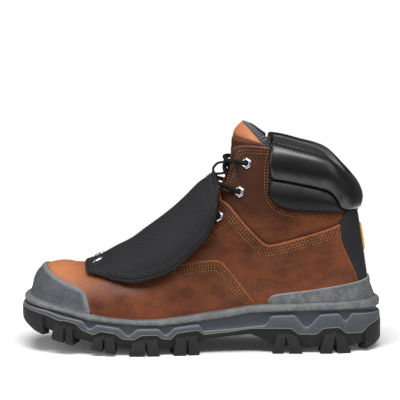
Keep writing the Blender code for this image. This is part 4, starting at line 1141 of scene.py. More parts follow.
def buildOutsole():
    body, parting = soleHeight("body"), soleHeight("parting")
    levels = [(9, body), (3.4, body), (2.2, body + 0.5), (1.7, body + 1.4), (0.3, parting - 1.4),
              (0.1, parting - 0.45), (0.9, parting - 0.1), (8, parting - 0.1)]
    rings = soleRings(levels)
    count = rings.shape[1]
    points = list(map(tuple, rings.reshape(-1, 3)))
    faces = ringFaces(len(levels), count).tolist()
    faces += capFaces(0, count, False) + capFaces((len(levels) - 1) * count, count, True)
    bm = bmesh.new()
    for side in (-1, 1):
        solids = [lugLoops(side, *row) for row in sideLugs] + [blockLoops(side, *row) for row in endBlocks]
        for solid in solids:
            loops = [[bm.verts.new(Vector(p)) for p in loop] for loop in solid]
            for one, two in zip(loops, loops[1:]):
                for i in range(5):
                    bm.faces.new((one[i], one[(i + 1) % 5], two[(i + 1) % 5], two[i]))
            bm.faces.new(loops[0])
            bm.faces.new(loops[-1])
    for x, y, radius in centreLugs:
        ends = []
        for reach, z in ((radius, None), (radius - 1.5, levelAt(bodyLine, x) + 2)):
            turns = [i * math.pi / 3 for i in range(6)]
            spots = [(x + reach * math.sin(turn), y + reach * math.cos(turn)) for turn in turns]
            heights = [levelAt(treadLine, a) if z is None else z for a, b in spots]
            ends.append([bm.verts.new((a, b, height)) for (a, b), height in zip(spots, heights)])
        for i in range(6):
            bm.faces.new((ends[0][i], ends[0][(i + 1) % 6], ends[1][(i + 1) % 6], ends[1][i]))
        bm.faces.new(ends[0])
        bm.faces.new(ends[1])
    bmesh.ops.recalc_face_normals(bm, faces=bm.faces[:])
    edges = [edge for edge in bm.edges if edge.calc_face_angle(0) > math.radians(25)]
    bmesh.ops.bevel(bm, geom=edges, offset=lug["bevel"], segments=2, profile=0.6, affect="EDGES",
                    clamp_overlap=True)
    bmesh.ops.triangulate(bm, faces=[face for face in bm.faces if len(face.verts) > 4])
    bm.verts.index_update()
    start = len(points)
    points += [tuple(vert.co) for vert in bm.verts]
    faces += [[start + vert.index for vert in face.verts] for face in bm.faces]
    short = [sum(edge.calc_length() < lug["bevelled"] for edge in vert.link_edges) for vert in bm.verts]
    edge = [0] * start + [min(1, number / 8) for number in short]
    bm.free()
    piece = makeMesh("outsole", points, faces, ["tread"], {"edge": edge}, sharp=35)
    keep(piece, "outsole_rubber", "outsole")


buildMidsole()
buildOutsole()
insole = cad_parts["insole"]
insole.data.materials.clear()
insole.data.materials.append(finishes["footbed"])
print("sole built")


# The metatarsal guard: ribs from its ridge to its edge, with a plain bound edge.
guard = {"along": 132, "across": 150, "band": 1.5, "rim": 1.5, "tab": -76, "quilt": 7.6, "rows": (3.2, 5.6)}


def guardSheet():
    rows = rowAt(guardRibs, np.linspace(0, len(guardRibs) - 1, guard["along"]))
    ridgeX, ridgeZ, edgeX, edgeY, edgeZ, thick = [rows[:, i:i + 1] for i in range(6)]
    share = np.linspace(-1, 1, guard["across"])[None]
    side, t = np.sign(share), np.abs(share)
    drop, middle = ridgeZ - edgeZ, swing(ridgeX)
    s = 1 - t
    weights = (s ** 3, 3 * s * s * t, 3 * s * t * t, t ** 3)
    across = (0, side * edgeY * 0.58, side * edgeY, side * edgeY)
    xs = (ridgeX, ridgeX * 0.75 + edgeX * 0.25, ridgeX * 0.2 + edgeX * 0.8, edgeX)
    zs = (ridgeZ, ridgeZ - 0.02 * drop, edgeZ + 0.56 * drop, edgeZ)
    x = sum(w * v for w, v in zip(weights, xs))
    y = middle + sum(w * v for w, v in zip(weights, across))
    z = sum(w * v for w, v in zip(weights, zs))
    return np.stack([x, y, z], -1), thick * np.ones_like(share)


def guardDistances(grid):
    # Lengths over the sheet from its four edges, and across and along it.
    wide, long = runs(grid, 1), runs(grid)
    sides = np.minimum(wide, wide[:, -1:] - wide)
    ends = np.minimum(long, long[-1:] - long)
    return np.minimum(sides, ends), wide - wide[:, -1:] / 2, long


def buildGuard():
    grid, thick = guardSheet()
    normals = unit(np.cross(np.gradient(grid, axis=0), np.gradient(grid, axis=1)))
    if normals[..., 2].mean() < 0:
        normals = -normals
    edge, wide, long = guardDistances(grid)
    faces = quads(*grid.shape[:2], False)
    first = grid.reshape(-1, 3)[faces[0]]
    if np.dot(np.cross(first[1] - first[0], first[2] - first[0]), normals[0, 0]) < 0:
        faces = faces[:, ::-1]
    band = 1 - smoothStep((edge - guard["band"] + 0.4) / 0.8)
    groove = bell(edge - guard["band"], 0.5, 0.6)
    quilt = bell(edge, guard["quilt"], 2)
    tab = smoothStep((guard["tab"] - grid[..., 0]) / 3)
    outer = -0.5 + 0.45 * band - 0.45 * groove - 0.35 * quilt
    outer = (outer + smoothStep((edge - 9) / 9) * 0.5) * (1 - 0.6 * tab)
    plain = np.maximum(band, tab)
    rim = guard["rim"]
    inner = -np.maximum(thick - rim * 0.5, 1)
    points, faces, source, isRim, isInner = shellOf(
        grid.reshape(-1, 3), normals.reshape(-1, 3), faces, outer.ravel(), inner.ravel(), rim * 0.75, 6)
    marks = {"plain": np.maximum(plain.ravel()[source], isRim), "shade": groove.ravel()[source] * 0.7}
    uv = np.stack([wide.ravel(), long.ravel()], 1)[source]
    piece = makeMesh("met_guard", points, faces, ["weave", "lining"], marks, uv, isInner)
    keep(piece, "guard_grey", "met_guard")
    outside = (grid + normals * outer[..., None]).reshape(-1, 3)
    tree = BVHTree.FromPolygons(outside.tolist(), quads(*grid.shape[:2], False).tolist())
    return grid, normals, outer, tree


guardGrid, guardNormals, guardOuter, guardTree = buildGuard()


def turnedPoints(points, place, normal):
    # Points about an upward axis, moved to a place and turned to its normal.
    turn = np.array(Vector(normal).to_track_quat("Z", "Y").to_matrix())
    return np.asarray(points) @ turn.T + np.array(place)


def roundRings(rings, around, wide=1, long=1):
    # Points of rings about an upward axis, from each one's radius and height.
    turn, cos, sin = circle(around)
    return np.concatenate([np.stack([r * wide * cos, r * long * sin, 0 * turn + z], 1) for r, z in rings])


rivet = {
    "around": 28, "wide": 0.8, "long": 1.45,
    "rings": [(3.5, -0.6), (3.6, 0.3), (3.5, 0.6), (3.1, 1), (2.3, 1.35), (1.3, 1.55), (0.4, 1.6)],
}


def buildRivets():
    flat = roundRings(rivet["rings"], rivet["around"], rivet["wide"], rivet["long"])
    for name in ("guard_rivet_lateral", "guard_rivet_medial"):
        low, high = (np.array(corner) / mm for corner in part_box(name))
        middle = (low + high) / 2
        above = Vector((middle[0], middle[1], 200))
        place, normal = guardTree.ray_cast(above, Vector((0, 0, -1)))[:2]
        normal = normal if normal.z > 0 else -normal
        faces = cappedFaces(len(rivet["rings"]), rivet["around"])
        piece = makeMesh(name, turnedPoints(flat, place, normal), faces, ["metal"])
        keep(piece, "bright_metal", name)


def buildEyelets():
    around = eyelet["around"]
    turn = circle(around)[0]
    half, hole = eyelet["across"] / 2, eyelet["hole"] / 2
    hexagon = half * math.cos(math.pi / 6) / np.cos((turn + math.pi / 6) % (math.pi / 3) - math.pi / 6)
    hexagon = np.minimum(hexagon, half * 0.97)
    levels = [(hexagon, -0.2), (hexagon, 0.7), (hexagon - 0.3, 1.05), (hexagon * 0.86, 1.35),
              (hole + 1.5, 1.55), (hole + 0.8, 1.75), (hole + 0.3, 1.6), (hole, 1.1), (hole, -2.2),
              (hole + 0.4, -2.2), (hole + 0.4, -0.2)]
    flat = roundRings(levels, around)
    faces = ringFaces(len(levels), around, closed=True)
    for word, (side, place, normal) in eyelets.items():
        points = turnedPoints(flat, place + normal * eyelet["seat"] * 0.4, normal)
        piece = makeMesh("eyelet_" + word, points, faces, ["metal"], sharp=32)
        keep(piece, "bright_metal", "eyelet_" + word)


buildRivets()
buildEyelets()
print("guard, rivets and eyelets built")


# The padded collar, the tongue and the laces.
cuff = {
    "axis": 88, "front": 57.5, "frontReach": 33.5, "sections": 150, "rise": 5.2, "swell": 5.6, "fine": 9,
    "fill": 0.7,
    # Gathers beside the seams: waves round the collar, start, share.
    "waves": [(17, 0, 0.5), (29, 1.7, 0.3), (43, 0.4, 0.2)],
}
# Tongue sections: centre x, z, lean of the wings in degrees, half width, depth, thickness.
tongueSections = [
    (-33, 92.5, 62, 16, 7, 3), (-12, 107.2, 57, 21, 11.5, 4.5), (6.5, 121.6, 50, 23, 15, 6),
    (18.8, 141, 30, 25, 18, 6.5), (24.3, 157, 14, 26, 21, 7), (25.2, 169, 4, 26.5, 23, 7.5),
    (25.6, 178, 6, 27, 25, 8), (28.5, 186, 14, 27, 24.5, 7.5), (34.2, 191.8, 22, 25, 20, 6),
]


def collarSpot(angle, z):
    out = Vector((math.cos(angle), math.sin(angle), 0))
    place, normal, index, distance = lastTree.ray_cast(Vector((cuff["axis"], 0, z)), out)
    return distance, 1 / max(0.55, abs(normal.dot(out)))


def collarTop(side):
    places = np.linspace(collarRib, len(lastRibs) - 1, 49)
    edge = ribGrid(side, places, np.array([1]))[:, 0]
    angles = np.abs(np.arctan2(edge[:, 1], edge[:, 0] - cuff["axis"]))
    order = np.argsort(angles)
    return np.stack([angles[order], edge[order, 2]], 1)


def cuffSection(angle, front, tops):
    # Two padded rolls outside, a fold over the collar edge and a lining inside: reach and height.
    edge = levelAt(tops[-1 if angle < 0 else 1], abs(angle))
    middle = collarSpot(angle, edge - 14)[0]
    x = cuff["axis"] + middle * math.cos(angle)
    low = levelAt(cuffLow, x)
    seam = max(levelAt(cuffMiddle, x), low + 1)
    top = edge + cuff["rise"]
    ends = float(smoothStep((front - abs(angle)) * middle / 6 + 0.12))
    lower = cuff["swell"] * ends * min(1, (seam - low) / 13) ** 0.6
    upper = (cuff["swell"] + 0.8) * ends
    clear, wall = 4 * shape["touch"], shape["wall"] + 3 * shape["touch"]
    profile = [
        (0.9, low), (1.4 + lower * 0.6, between(low, seam, 0.14)),
        (1.2 + lower * 1.05, between(low, seam, 0.52)), (1.2 + lower * 0.6, between(low, seam, 0.93)),
        (0.9, seam),
        (1.4 + upper * 0.52, between(seam, top, 0.07)), (1.2 + upper * 1.1, between(seam, top, 0.4)),
        (1.2 + upper * 0.92, between(seam, top, 0.76)), (0.6 + upper * 0.45, between(seam, top, 0.95)),
        (-1.8, top), (-wall - 2.8, top - 3.4), (-wall, top - 15), (-wall, edge + clear),
        (clear, edge + clear), (clear, between(low, edge, 0.5)), (0.9, low),
    ]
    points = []
    for reach, z in profile:
        distance, slant = collarSpot(angle, min(z, edge - 0.8))
        distance += reach * slant
        points.append((cuff["axis"] + distance * math.cos(angle), distance * math.sin(angle), z))
    return points


cuffLow = rounded(cuffBottom, 4, 3, closed=False)
cuffMiddle = rounded(cuffSeam, 5, 3, closed=False)


def buildCuff():
    front = math.atan2(cuff["frontReach"], cuff["front"] - cuff["axis"])
    tops = {side: collarTop(side) for side in (-1, 1)}
    angles = np.linspace(-front, front, cuff["sections"])
    sections = np.array([cuffSection(angle, front, tops) for angle in angles])
    # Smooth along each stretch of the profile, with the seam and the edges kept sharp.
    breaks = [0, 4, 9, 10, 12, 13, 15]
    parts, index = [], []
    for start, end in zip(breaks, breaks[1:]):
        steps = (end - start) * cuff["fine"]
        places = np.linspace(0, end - start, steps + 1)[:-1]
        block = np.moveaxis(sections[:, start:end + 1], 1, 0).reshape(end - start + 1, -1)
        parts.append(rowAt(block, places).reshape(len(places), len(sections), 3))
        index.append(start + places)
    grid = np.concatenate(parts)
    index = np.concatenate(index)
    grid[:, :, :2] += cuffPuff(grid, index)
    count = len(grid)
    points = np.moveaxis(grid, 1, 0).reshape(-1, 3)
    faces = ringFaces(len(sections), count).tolist()
    middle = [np.mean(grid[:, row], 0) for row in (0, -1)]
    points = np.concatenate([points, middle])
    lastRing = (len(sections) - 1) * count
    lining = np.tile((index >= 9.6) & (index < 12.5), len(sections) - 1).astype(int).tolist()
    for i in range(count):
        j = (i + 1) % count
        faces += [(j, i, len(points) - 2), (lastRing + i, lastRing + j, len(points) - 1)]
        lining += [0, 0]
    seam = bell(index, 4, 0.22) + bell(index, 0, 0.2)
    dull = np.concatenate([np.tile(np.where(index < 4, 1, 0), len(sections)), [0, 0]])
    shade = np.concatenate([np.tile(seam, len(sections)), [0.5, 0.5]])
    run, around = runs(grid[:, cuff["sections"] // 2]), runs(grid[count // 2])
    uv = np.stack(np.meshgrid(around, run, indexing="ij"), -1).reshape(-1, 2)
    uv = np.concatenate([uv, [[0, 0], [0, 0]]])
    marks = {"shade": shade, "dull": dull}
    piece = makeMesh("collar_cuff", points, faces, ["padded", "lining"], marks, uv, lining, sharp=70)
    turnOut(piece)
    keep(piece, "black_leather", "collar_cuff")
    return sections


def cuffPuff(grid, index):
    # Soft gathers that run up from the seams, strongest beside them.
    out = grid[:, :, :2] - np.array([cuff["axis"], 0])
    out /= np.linalg.norm(out, axis=2, keepdims=True)
    around = np.arctan2(out[..., 1], out[..., 0])
    near = bell(index, 4.9, 0.8) + 0.7 * bell(index, 3.1, 0.7)
    waves = sum(np.sin(around * number + start) * share for number, start, share in cuff["waves"])
    hollow = bell(index, 6.5, 0.9)[:, None] * np.sin(around * 5 + 0.8)
    return out * (0.38 * near[:, None] * waves + 0.35 * hollow)[..., None]


def wallDepth(spot, back):
    reach = 45
    place, normal, index, distance = lastTree.ray_cast(spot + back * reach, -back)
    if place is None or distance > 2 * reach:
        return 0
    clearance = (shape["wall"] + 3 * shape["touch"]) / max(0.35, abs(normal.dot(back)))
    return reach - distance + clearance


tongue = {
    "rows": 96, "columns": 61, "fill": 0.6,
    # Drop of the top's corners in front and behind and its bend, from this share of the height up.
    "corners": ((11.5, 2.3), (3.5, 2.6)), "cornersFrom": 0.72,
    # The fold's height, slope, width and depth, and the share from which the leather gets a painted
    # highlight.
    "fold": (0.78, 0.03, 0.02, 0.5), "highlightFrom": 0.7,
}


def buildTongue():
    shares = np.linspace(-1, 1, tongue["columns"])
    rows = rowAt(tongueSections, np.linspace(0, len(tongueSections) - 1, tongue["rows"]))
    fronts, backs = [], []
    for x, z, lean, half, depth, thick in rows:
        back = Vector((math.cos(math.radians(lean)), 0, -math.sin(math.radians(lean))))
        for share in shares:
            spot = Vector((x, float(swing(x)) + share * half, z))
            bend = max(depth * abs(share) ** 1.9, wallDepth(spot, back))
            pad = thick * (1 - 0.6 * share * share)
            fronts.append(spot + back * bend)
            backs.append(spot + back * (bend + pad) + Vector((0, -share * pad * 0.35, 0)))
    size = (tongue["rows"], tongue["columns"])
    front, rear = (np.array(points).reshape(*size, 3) for points in (fronts, backs))
    for turn in range(3):
        front[:, 1:-1] = front[:, 1:-1] * 0.5 + (front[:, 2:] + front[:, :-2]) * 0.25
    across = np.linspace(-1, 1, size[1])[None, :, None]
    height = np.linspace(0, 1, size[0])[:, None, None]
    # The top is cut round, lower at both sides than in the middle.
    for grid, (drop, bend) in zip((front, rear), tongue["corners"]):
        grid[..., 2:] -= drop * smoothStep((height - tongue["cornersFrom"]) / 0.28) * np.abs(across) ** bend
    out = unit(front - rear)
    # One soft fold crosses the tongue below its top.
    level, slope, width, depth = tongue["fold"]
    channel = bell(height - level - slope * across, 0, width) * (1 - across ** 4)
    front = front - out * depth * channel
    middle = (front + rear) / 2
    normal = unit(front - rear)
    half = np.linalg.norm(front - rear, axis=2) / 2
    faces = quads(size[0], size[1], False)
    flat, ups = middle.reshape(-1, 3), normal.reshape(-1, 3)
    first = flat[faces[0]]
    if np.dot(np.cross(first[1] - first[0], first[2] - first[0]), ups[0]) < 0:
        faces = faces[:, ::-1]
    points, faces, source, isRim, isInner = shellOf(flat, ups, faces, half.ravel(), -half.ravel(), 1.3, 5)
    points[len(flat):2 * len(flat)] = rear.reshape(-1, 3)
    shade = channel.ravel()[source] * 0.5
    # Painted highlight on the tongue's upper part.
    light = (smoothStep((height - tongue["highlightFrom"]) / 0.16) * np.ones(size + (1,))).ravel()[source]
    slots = np.arange(len(faces)) >= (size[0] - 1) * (size[1] - 1)
    uv = np.stack([runs(middle, 1).ravel(), runs(middle).ravel()], 1)[source]
    # The lining's pattern runs on over the rim.
    uv[len(flat):, 1] += np.linalg.norm(points - front.reshape(-1, 3)[source], axis=1)[len(flat):]
    marks = {"shade": shade, "light": light}
    piece = makeMesh("tongue", points, faces, ["leather", "lining"], marks, uv, slots)
    keep(piece, "brown_leather", "tongue")
    return front.reshape(-1, 3), quads(size[0], size[1], False)


cuffSections = buildCuff()
tongueFront, tongueFaces = buildTongue()
print("collar and tongue built")

lace = {
    "radius": 1.8, "around": 16, "fine": 8, "overlays": 1.8,
    # Heights over the ground, over an eyelet and over the top pair, whose runs lie above a level.
    "lift": 1.5, "overEyelet": 2, "overTop": 0.6, "topLevel": 144.7,
    # Depth in an eyelet, reach out of it, clearance under a flap and how far a run bows forwards.
    "dip": 4, "out": 1.6, "under": 0.4, "bow": 1.2,
    "shares": (0, 0.12, 0.22, 0.33, 0.5, 0.67, 0.78, 0.88, 1), "beside": (-5, -2.5, 0, 2.5, 5),
}


def tubeAlong(route, radius, around):
    # Round tube with closed ends along a route, with its lengths and turns as a surface map.
    route = np.asarray(route, float)
    along = unit(np.gradient(route, axis=0))
    side = np.zeros_like(route)
    side[0] = unit(np.cross(along[0], [0.3, 0.2, 1]))
    for i in range(1, len(route)):
        side[i] = unit(side[i - 1] - along[i] * np.dot(side[i - 1], along[i]))
    other = np.cross(along, side)
    turn, cos, sin = circle(around)
    ring = side[:, None] * cos[:, None] + other[:, None] * sin[:, None]
    points = (route[:, None] + ring * radius).reshape(-1, 3)
    faces = ringFaces(len(route), around)[:, ::-1].tolist()
    faces += [list(range(around)), [len(points) - 1 - i for i in range(around)]]
    turns = turn / (2 * math.pi) * 1000
    uv = np.stack(np.meshgrid(runs(route), turns, indexing="ij"), -1).reshape(-1, 2)
    return points, faces, uv


tongueTree = BVHTree.FromPolygons(tongueFront.tolist(), tongueFaces.tolist())


def lacingGround():
    lifted = last["points"] + last["normals"] * lace["overlays"]
    points = lifted.tolist() + tongueFront.tolist()
    faces = last["faces"].tolist() + (tongueFaces + len(lifted)).tolist()
    return BVHTree.FromPolygons(points, faces)


def beneath(spot, depth):
    place, normal = lastTree.find_nearest(spot)[:2]
    normal = normal if normal.y * place.y > 0 else -normal
    return place - normal * depth


def laceRoute(ground, start, end, overs):
    side, placeA, normalA = start
    side, placeB, normalB = end
    along = (placeB - placeA).normalized()
    across = (placeB - placeA).length
    route = []
    leans = [(row[1], row[2]) for row in tongueSections]
    lean = math.radians(levelAt(leans, (placeA.z + placeB.z) / 2))
    bow = Vector((-math.cos(lean), 0, math.sin(lean)))
    for share in lace["shares"]:
        spot = placeA.lerp(placeB, share)
        out = (normalA.lerp(normalB, share) + bow * lace["bow"] * math.sin(math.pi * share)).normalized()
        over = overs[share > 0.5] or share == 0.5
        level, slant = 0, 1
        for offset in lace["beside"]:
            below = spot + along * offset
            tree = ground if over else tongueTree
            hit, normal, index, distance = tree.ray_cast(below + out * 60, -out)
            if hit and (hit - below).dot(out) > level:
                level = (hit - below).dot(out)
                slant = 1 / max(0.6, abs(normal.dot(out)))
        lift = lace["radius"] + (lace["lift"] if over else 0)
        near = min(share, 1 - share) * across < 0.8 * eyelet["across"]
        lift += lace["overEyelet"] if near and over else 0
        lift += lace["overTop"] if max(placeA.z, placeB.z) > lace["topLevel"] else 0
        route.append(spot + out * (level + lift * slant))
    # An outer end turns down through its eyelet, and a hidden one slips under the flap to it.
    under = shape["wall"] + lace["radius"] + lace["under"]
    ends = ((placeA, normalA, overs[0], 1, 2), (placeB, normalB, overs[1], -2, -3))
    inner = [place - normal * (lace["dip"] if over else under) for place, normal, over, one, two in ends]
    for place, normal, over, one, two in ends:
        route[one] = place + normal * lace["out"] if over else beneath(route[one], under)
        route[two] = route[two] if over else beneath(route[two], under)
    route = inner[:1] + route[1:-1] + inner[1:]
    steps = np.linspace(0, len(route) - 1, (len(route) - 1) * lace["fine"] + 1)
    return rowAt(route, steps)


def buildLaces():
    ground = lacingGround()
    runs = []
    for number in (1, 2, 3):
        runs += [(f"lateral_{number}", f"medial_{number + 1}", (True, False)),
                 (f"medial_{number}", f"lateral_{number + 1}", (True, False))]
    runs.append(("lateral_4", "medial_4", (True, True)))
    points, faces, uv = [], [], []
    for one, two, overs in runs:
        made = tubeAlong(laceRoute(ground, eyelets[one], eyelets[two], overs), lace["radius"], lace["around"])
        start = sum(len(part) for part in points)
        points.append(made[0])
        faces += [[start + i for i in face] for face in made[1]]
        uv.append(made[2])
    piece = makeMesh("laces", np.concatenate(points), faces, ["lace"], None, np.concatenate(uv))
    keep(piece, "lace_black", "lace_crossings")


loop = {
    "radius": 1,
    "route": [
        (10.8, 2, 147.4), (10, 0.6, 151.6), (13, -1.6, 155.8), (17.2, -4, 157.4), (21.4, -6.4, 156),
        (23, -7.5, 152.4), (20.6, -7, 149.2), (16, -4, 147.8), (12, -1, 147.4),
    ],
}


def buildLoop():
    # The thin cord that ties the guard's upper corner to the lacing.
    route = rowAt(loop["route"], np.linspace(0, len(loop["route"]) - 1, 57))
    points, faces, uv = tubeAlong(route, loop["radius"], 12)
    piece = makeMesh("guard_loop", points, faces, ["lace"], None, uv)
    path = [tuple(point * mm) for point in route[::4]]
    keep(piece, "lace_black", "guard_loop")


buildLoop()
buildLaces()
print("laces built")


# Stitching: one Geometry Nodes tree lays threads and needle holes along rows. Sizes of one stitch:
stitch = {"pitch": 2.5, "length": 1.75, "width": 0.95, "height": 0.6, "hole": 0.95}


def stitchTree():
    tree = bpy.data.node_groups.new("stitchRows", "GeometryNodeTree")
    tree.interface.new_socket("Rows", in_out="INPUT", socket_type="NodeSocketGeometry")
    for name in ("Pitch", "Length", "Width", "Height", "Hole"):
        tree.interface.new_socket(name, in_out="INPUT", socket_type="NodeSocketFloat")
    for name in ("Thread", "Needle"):
        tree.interface.new_socket(name, in_out="INPUT", socket_type="NodeSocketMaterial")
    tree.interface.new_socket("Stitches", in_out="OUTPUT", socket_type="NodeSocketGeometry")

    def add(kind, sockets=None, **settings):
        node = tree.nodes.new(kind)
        for key, value in settings.items():
            setattr(node, key, value)
        for key, value in (sockets or {}).items():
            if isinstance(value, bpy.types.NodeSocket):
                tree.links.new(value, node.inputs[key])
            else:
                node.inputs[key].default_value = value
        return node

    given = add("NodeGroupInput").outputs
    curve = add("GeometryNodeMeshToCurve", {"Mesh": given["Rows"]}).outputs[0]
    sockets = {"Curve": curve, "Length": given["Pitch"]}
    evenly = add("GeometryNodeResampleCurve", sockets, mode="LENGTH").outputs[0]
    up = add("GeometryNodeInputNamedAttribute", {"Name": "up"}, data_type="FLOAT_VECTOR").outputs["Attribute"]
    along = add("GeometryNodeInputTangent").outputs[0]
    axes = {"primary_axis": "Z", "secondary_axis": "X"}
    turn = add("FunctionNodeAxesToRotation", {0: up, 1: along}, **axes).outputs[0]
    ball = add("GeometryNodeMeshUVSphere", {"Segments": 8, "Rings": 5, "Radius": 0.5}).outputs[0]
    sockets = {"X": given["Length"], "Y": given["Width"], "Z": given["Height"]}
    size = add("ShaderNodeCombineXYZ", sockets).outputs[0]
    low = add("ShaderNodeMath", {0: given["Height"], 1: 0.35}, operation="MULTIPLY").outputs[0]
    hole = add("ShaderNodeCombineXYZ", {"X": given["Hole"], "Y": given["Hole"], "Z": low}).outputs[0]
    half = add("ShaderNodeMath", {0: given["Pitch"], 1: 0.5}, operation="MULTIPLY").outputs[0]
    shift = add("ShaderNodeCombineXYZ", {"X": half}).outputs[0]
    both = []
    for scale, move, finish in ((size, None, "Thread"), (hole, shift, "Needle")):
        sockets = {"Geometry": ball, "Scale": scale}
        if move:
            sockets["Translation"] = move
        one = add("GeometryNodeTransform", sockets).outputs[0]
        sockets = {"Points": evenly, "Instance": one, "Rotation": turn}
        laid = add("GeometryNodeInstanceOnPoints", sockets).outputs[0]
        real = add("GeometryNodeRealizeInstances", {"Geometry": laid}).outputs[0]
        both.append(add("GeometryNodeSetMaterial", {"Geometry": real, "Material": given[finish]}).outputs[0])
    joined = add("GeometryNodeJoinGeometry")
    for socket in both:
        tree.links.new(socket, joined.inputs[0])
    tree.links.new(joined.outputs[0], add("NodeGroupOutput").inputs[0])
    return tree


stitchRows = stitchTree()


def layStitches(name, rows, slot, threadFinish, **sizes):
    # Rows are lists of places and outward ways, in millimetres.
    points, ups, edges = [], [], []
    for places, ways in rows:
        start = len(points)
        points += [tuple(place) for place in np.asarray(places) * mm]
        ups += [tuple(way) for way in ways]
        edges += [(start + i, start + i + 1) for i in range(len(places) - 1)]
    mesh = bpy.data.meshes.new(name)
    mesh.from_pydata(points, edges, [])
    mesh.attributes.new("up", "FLOAT_VECTOR", "POINT").data.foreach_set("vector", np.ravel(ups))
    holder = added(name + "_rows", mesh)
    modifier = holder.modifiers.new("stitches", "NODES")
    modifier.node_group = stitchRows
    values = {**stitch, **sizes}
    inputs = {key.capitalize(): values[key] * mm for key in ("pitch", "length", "width", "height", "hole")}
    inputs.update(Thread=finishes[threadFinish], Needle=finishes["hole"])
    for item in stitchRows.interface.items_tree:
        if item.in_out == "INPUT" and item.name in inputs:
            modifier[item.identifier] = inputs[item.name]
    graph = bpy.context.evaluated_depsgraph_get()
    made = bpy.data.meshes.new_from_object(holder.evaluated_get(graph))
    bpy.data.objects.remove(holder, do_unlink=True)
    made.name = name
    made.shade_smooth()
    return keep(added(name, made), slot)


def beside(path, distance):
    # A side-view path moved sideways: to the right of its direction where distance is positive.
    path = rounded(path, 3.5, 3, closed=False)
    steps = runs(path)
    even = np.linspace(0, steps[-1], max(2, int(steps[-1] / 0.9)))
    path = np.column_stack([np.interp(even, steps, path[:, i]) for i in (0, 1)])
    along = unit(np.gradient(path, axis=0))
    return path + np.stack([along[:, 1], -along[:, 0]], 1) * distance


def onLast(path, side, lift):
    spots = [sideSpot(lastTree, side, x, z) for x, z in path]
    places, ways = (np.array(part) for part in zip(*spots))
    return places + ways * (lift + creaseRelief(places))[:, None], ways


def seamRows(path, distances, lift):
    return [onLast(beside(path, distance), side, lift) for side in (-1, 1) for distance in distances]


# Side-view paths of the seams and their rows' distances and lift: x, z.
patchSeam = [
    (118.5, 114.5), (115.6, 110.1), (114.6, 100.6), (117.6, 88.8), (123.6, 76.8), (128.6, 64.8),
    (129.8, 60.5),
]
leatherSeams = [
    (quarterEdge[2:-1] + [(113.2, 106.8)], (1.7, 4, 6.3, 8.6), 1.62),
    (vampEdge[3:-1], (1.8, 4.1, 6.4, 8.7), 1.82),
    ([(29, 111.4), (12, 99.4), (-3, 90)], (-1.1, 1.1), 1.62),
    ([(60, 168), (58.2, 160), (57.4, 146.7), (57.6, 133.1), (61.8, 125.5), (69.5, 120.6),
      (86.8, 118.4), (104.1, 117.9), (117, 118.3)], (2.3, 4.7), 0.12),
    ([(17.6, 136.5), (19.4, 141), (22.6, 150.5), (24.4, 157), (28, 166.5), (30.5, 169.8),
      (35, 171.3), (42, 171.3), (58, 171.4)], (2, 4.4), 0.12),
]


def buildStitches():
    rows = sum((seamRows(*seam) for seam in leatherSeams), [])
    layStitches("leather_stitches", rows, "brown_leather", "tan")
    layStitches("patch_stitches", seamRows(patchSeam, (-2.6, -5), 1.7), "dark_weave", "black")
    layStitches("guard_stitches", guardRows(), "guard_grey", "black", hole=1, width=0.8)
    layStitches("collar_stitches", [collarRow()], "black_leather", "pale", pitch=2.8, length=1.9, hole=0.3)


def guardRows():
    # Two rows follow the guard's whole edge at fixed distances from it.
    wide, long = guardDistances(guardGrid)[1:]
    outside = guardGrid + guardNormals * guardOuter[..., None]
    half, spine = wide[:, -1], long[:, guard["across"] // 2]
    rows = []
    for distance in guard["rows"]:
        places = []
        inner = np.flatnonzero((spine > distance) & (spine[-1] - spine > distance))
        columns = np.arange(guard["across"])
        left = [(row, np.interp(distance - half[row], wide[row], columns)) for row in inner]
        right = [(row, np.interp(half[row] - distance, wide[row], columns)) for row in inner[::-1]]
        for row, column in left + acrossRow(left, right) + right + acrossRow(right, left):
            whole = min(int(column), outside.shape[1] - 2)
            share = column - whole
            spot = outside[row, whole] * (1 - share) + outside[row, whole + 1] * share
            places.append((spot + guardNormals[row, whole] * 0.15, guardNormals[row, whole]))
        rows.append(tuple(zip(*places, places[0])))
    return rows


def acrossRow(near, other):
    # The row's run across the sheet, from the end of one side to the start of the other.
    row, start = near[-1]
    return [(row, start + (other[0][1] - start) * i / 60) for i in range(1, 60)]


def collarRow():
    # A row of pale stitches where the lining meets the roll on top of the collar.
    lift = np.array([0, 0, 0.75])
    places = [section[9] * 0.72 + section[10] * 0.28 + lift for section in cuffSections[4:-4]]
    return places, [(0.0, 0.0, 1.0)] * len(places)


# A plain rounded pull tab on the heel: half width, half height, middle's height, share and lift of its rings.
tab = {
    "half": (9, 11.5), "middle": 94, "around": 40,
    "rings": [(1, 1.3), (1, 2.1), (0.95, 2.6), (0.85, 2.8), (0.5, 3), (0.15, 3)],
}


def buildTab():
    cos, sin = circle(tab["around"])[1:]
    wide, tall = (half * np.sign(way) * np.abs(way) ** 0.5 for half, way in zip(tab["half"], (cos, sin)))
    spots = []
    for share, lift in tab["rings"]:
        for y, z in zip(wide * share, tall * share + tab["middle"]):
            place, normal = lastTree.ray_cast(Vector((220, y, z)), Vector((-1, 0, 0)))[:2]
            spots.append(place + normal * lift)
    piece = makeMesh("heel_tab", np.array(spots), cappedFaces(len(tab["rings"]), tab["around"]), ["tab"])
    turnOut(piece)
    keep(piece, "dark_weave")


buildStitches()
buildTab()
print("stitches laid")


# The floor, the lights and the picture's own tones.
studio = {
    "floor": (-340, -180, 340, 380), "white": 0.9, "sky": 0.1,
    # The floor's glow near the boot and past it, and the distances between which each gives way.
    "under": 0.03, "glow": 0.22, "near": (0.13, 0.26), "far": (0.27, 0.5),
    # x, y, z, width, height, watts; all look at the boot.
    "lights": [
        (60, -850, 1230, 1300, 500, 20), (1000, -500, 800, 700, 900, 3),
        (-250, -300, 1600, 1300, 700, 13), (-1100, -300, 600, 500, 800, 4),
    ],
}


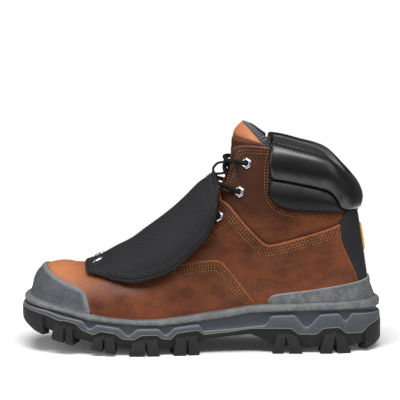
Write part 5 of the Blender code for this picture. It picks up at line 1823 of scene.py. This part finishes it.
def buildStudio():
    left, near, right, back = (edge * mm for edge in studio["floor"])
    mesh = bpy.data.meshes.new("floor")
    corners = [(left, near, 0), (right, near, 0), (right, back, 0), (left, back, 0)]
    mesh.from_pydata(corners, [], [(0, 1, 2, 3)])
    finish = Finish("floorWhite", Roughness=0.95, Specular_IOR_Level=0.1)
    tone = finish.noise(900)
    white = studio["white"]
    # The floor glows less near the boot and under it, so its shadow stays dark.
    sockets = {"Vector": finish.place, "Location": (0, -0.09, 0), "Scale": (1, 1.7, 1)}
    wide = finish.node("Mapping", {}, sockets)
    far = finish.node("VectorMath", {"operation": "LENGTH"}, {0: wide}, "Value")
    glow = finish.mix(finish.step(far, *studio["near"]), (studio["under"],) * 3, (studio["glow"],) * 3)
    glow = finish.mix(finish.step(far, *studio["far"]), glow, (1,) * 3)
    finish.set(Emission_Color=glow, Emission_Strength=1)
    mesh.materials.append(finish.set(Base_Color=finish.mix(tone, (white,) * 3, (white * 0.99,) * 3)))
    added("floor", mesh)
    world = bpy.data.worlds.new("studio")
    world.use_nodes = True
    background = world.node_tree.nodes["Background"]
    background.inputs["Color"].default_value = (1, 1, 1, 1)
    background.inputs["Strength"].default_value = studio["sky"]
    seen = world.node_tree.nodes.new("ShaderNodeLightPath")
    strength = world.node_tree.nodes.new("ShaderNodeMapRange")
    strength.inputs["To Min"].default_value = studio["sky"]
    world.node_tree.links.new(seen.outputs["Is Camera Ray"], strength.inputs["Value"])
    world.node_tree.links.new(strength.outputs["Result"], background.inputs["Strength"])
    scene.world = world
    for number, (x, y, z, width, height, watts) in enumerate(studio["lights"]):
        data = bpy.data.lights.new(f"light{number}", "AREA")
        data.shape = "RECTANGLE"
        data.size = width * mm
        data.size_y = height * mm
        data.energy = watts
        light = added(f"light{number}", data)
        light.location = Vector((x, y, z)) * mm
        aim = Vector(view["target"]) * mm - light.location
        light.rotation_euler = aim.to_track_quat("-Z", "Y").to_euler()
    scene.view_settings.view_transform = "Standard"


buildStudio()
print("studio built")
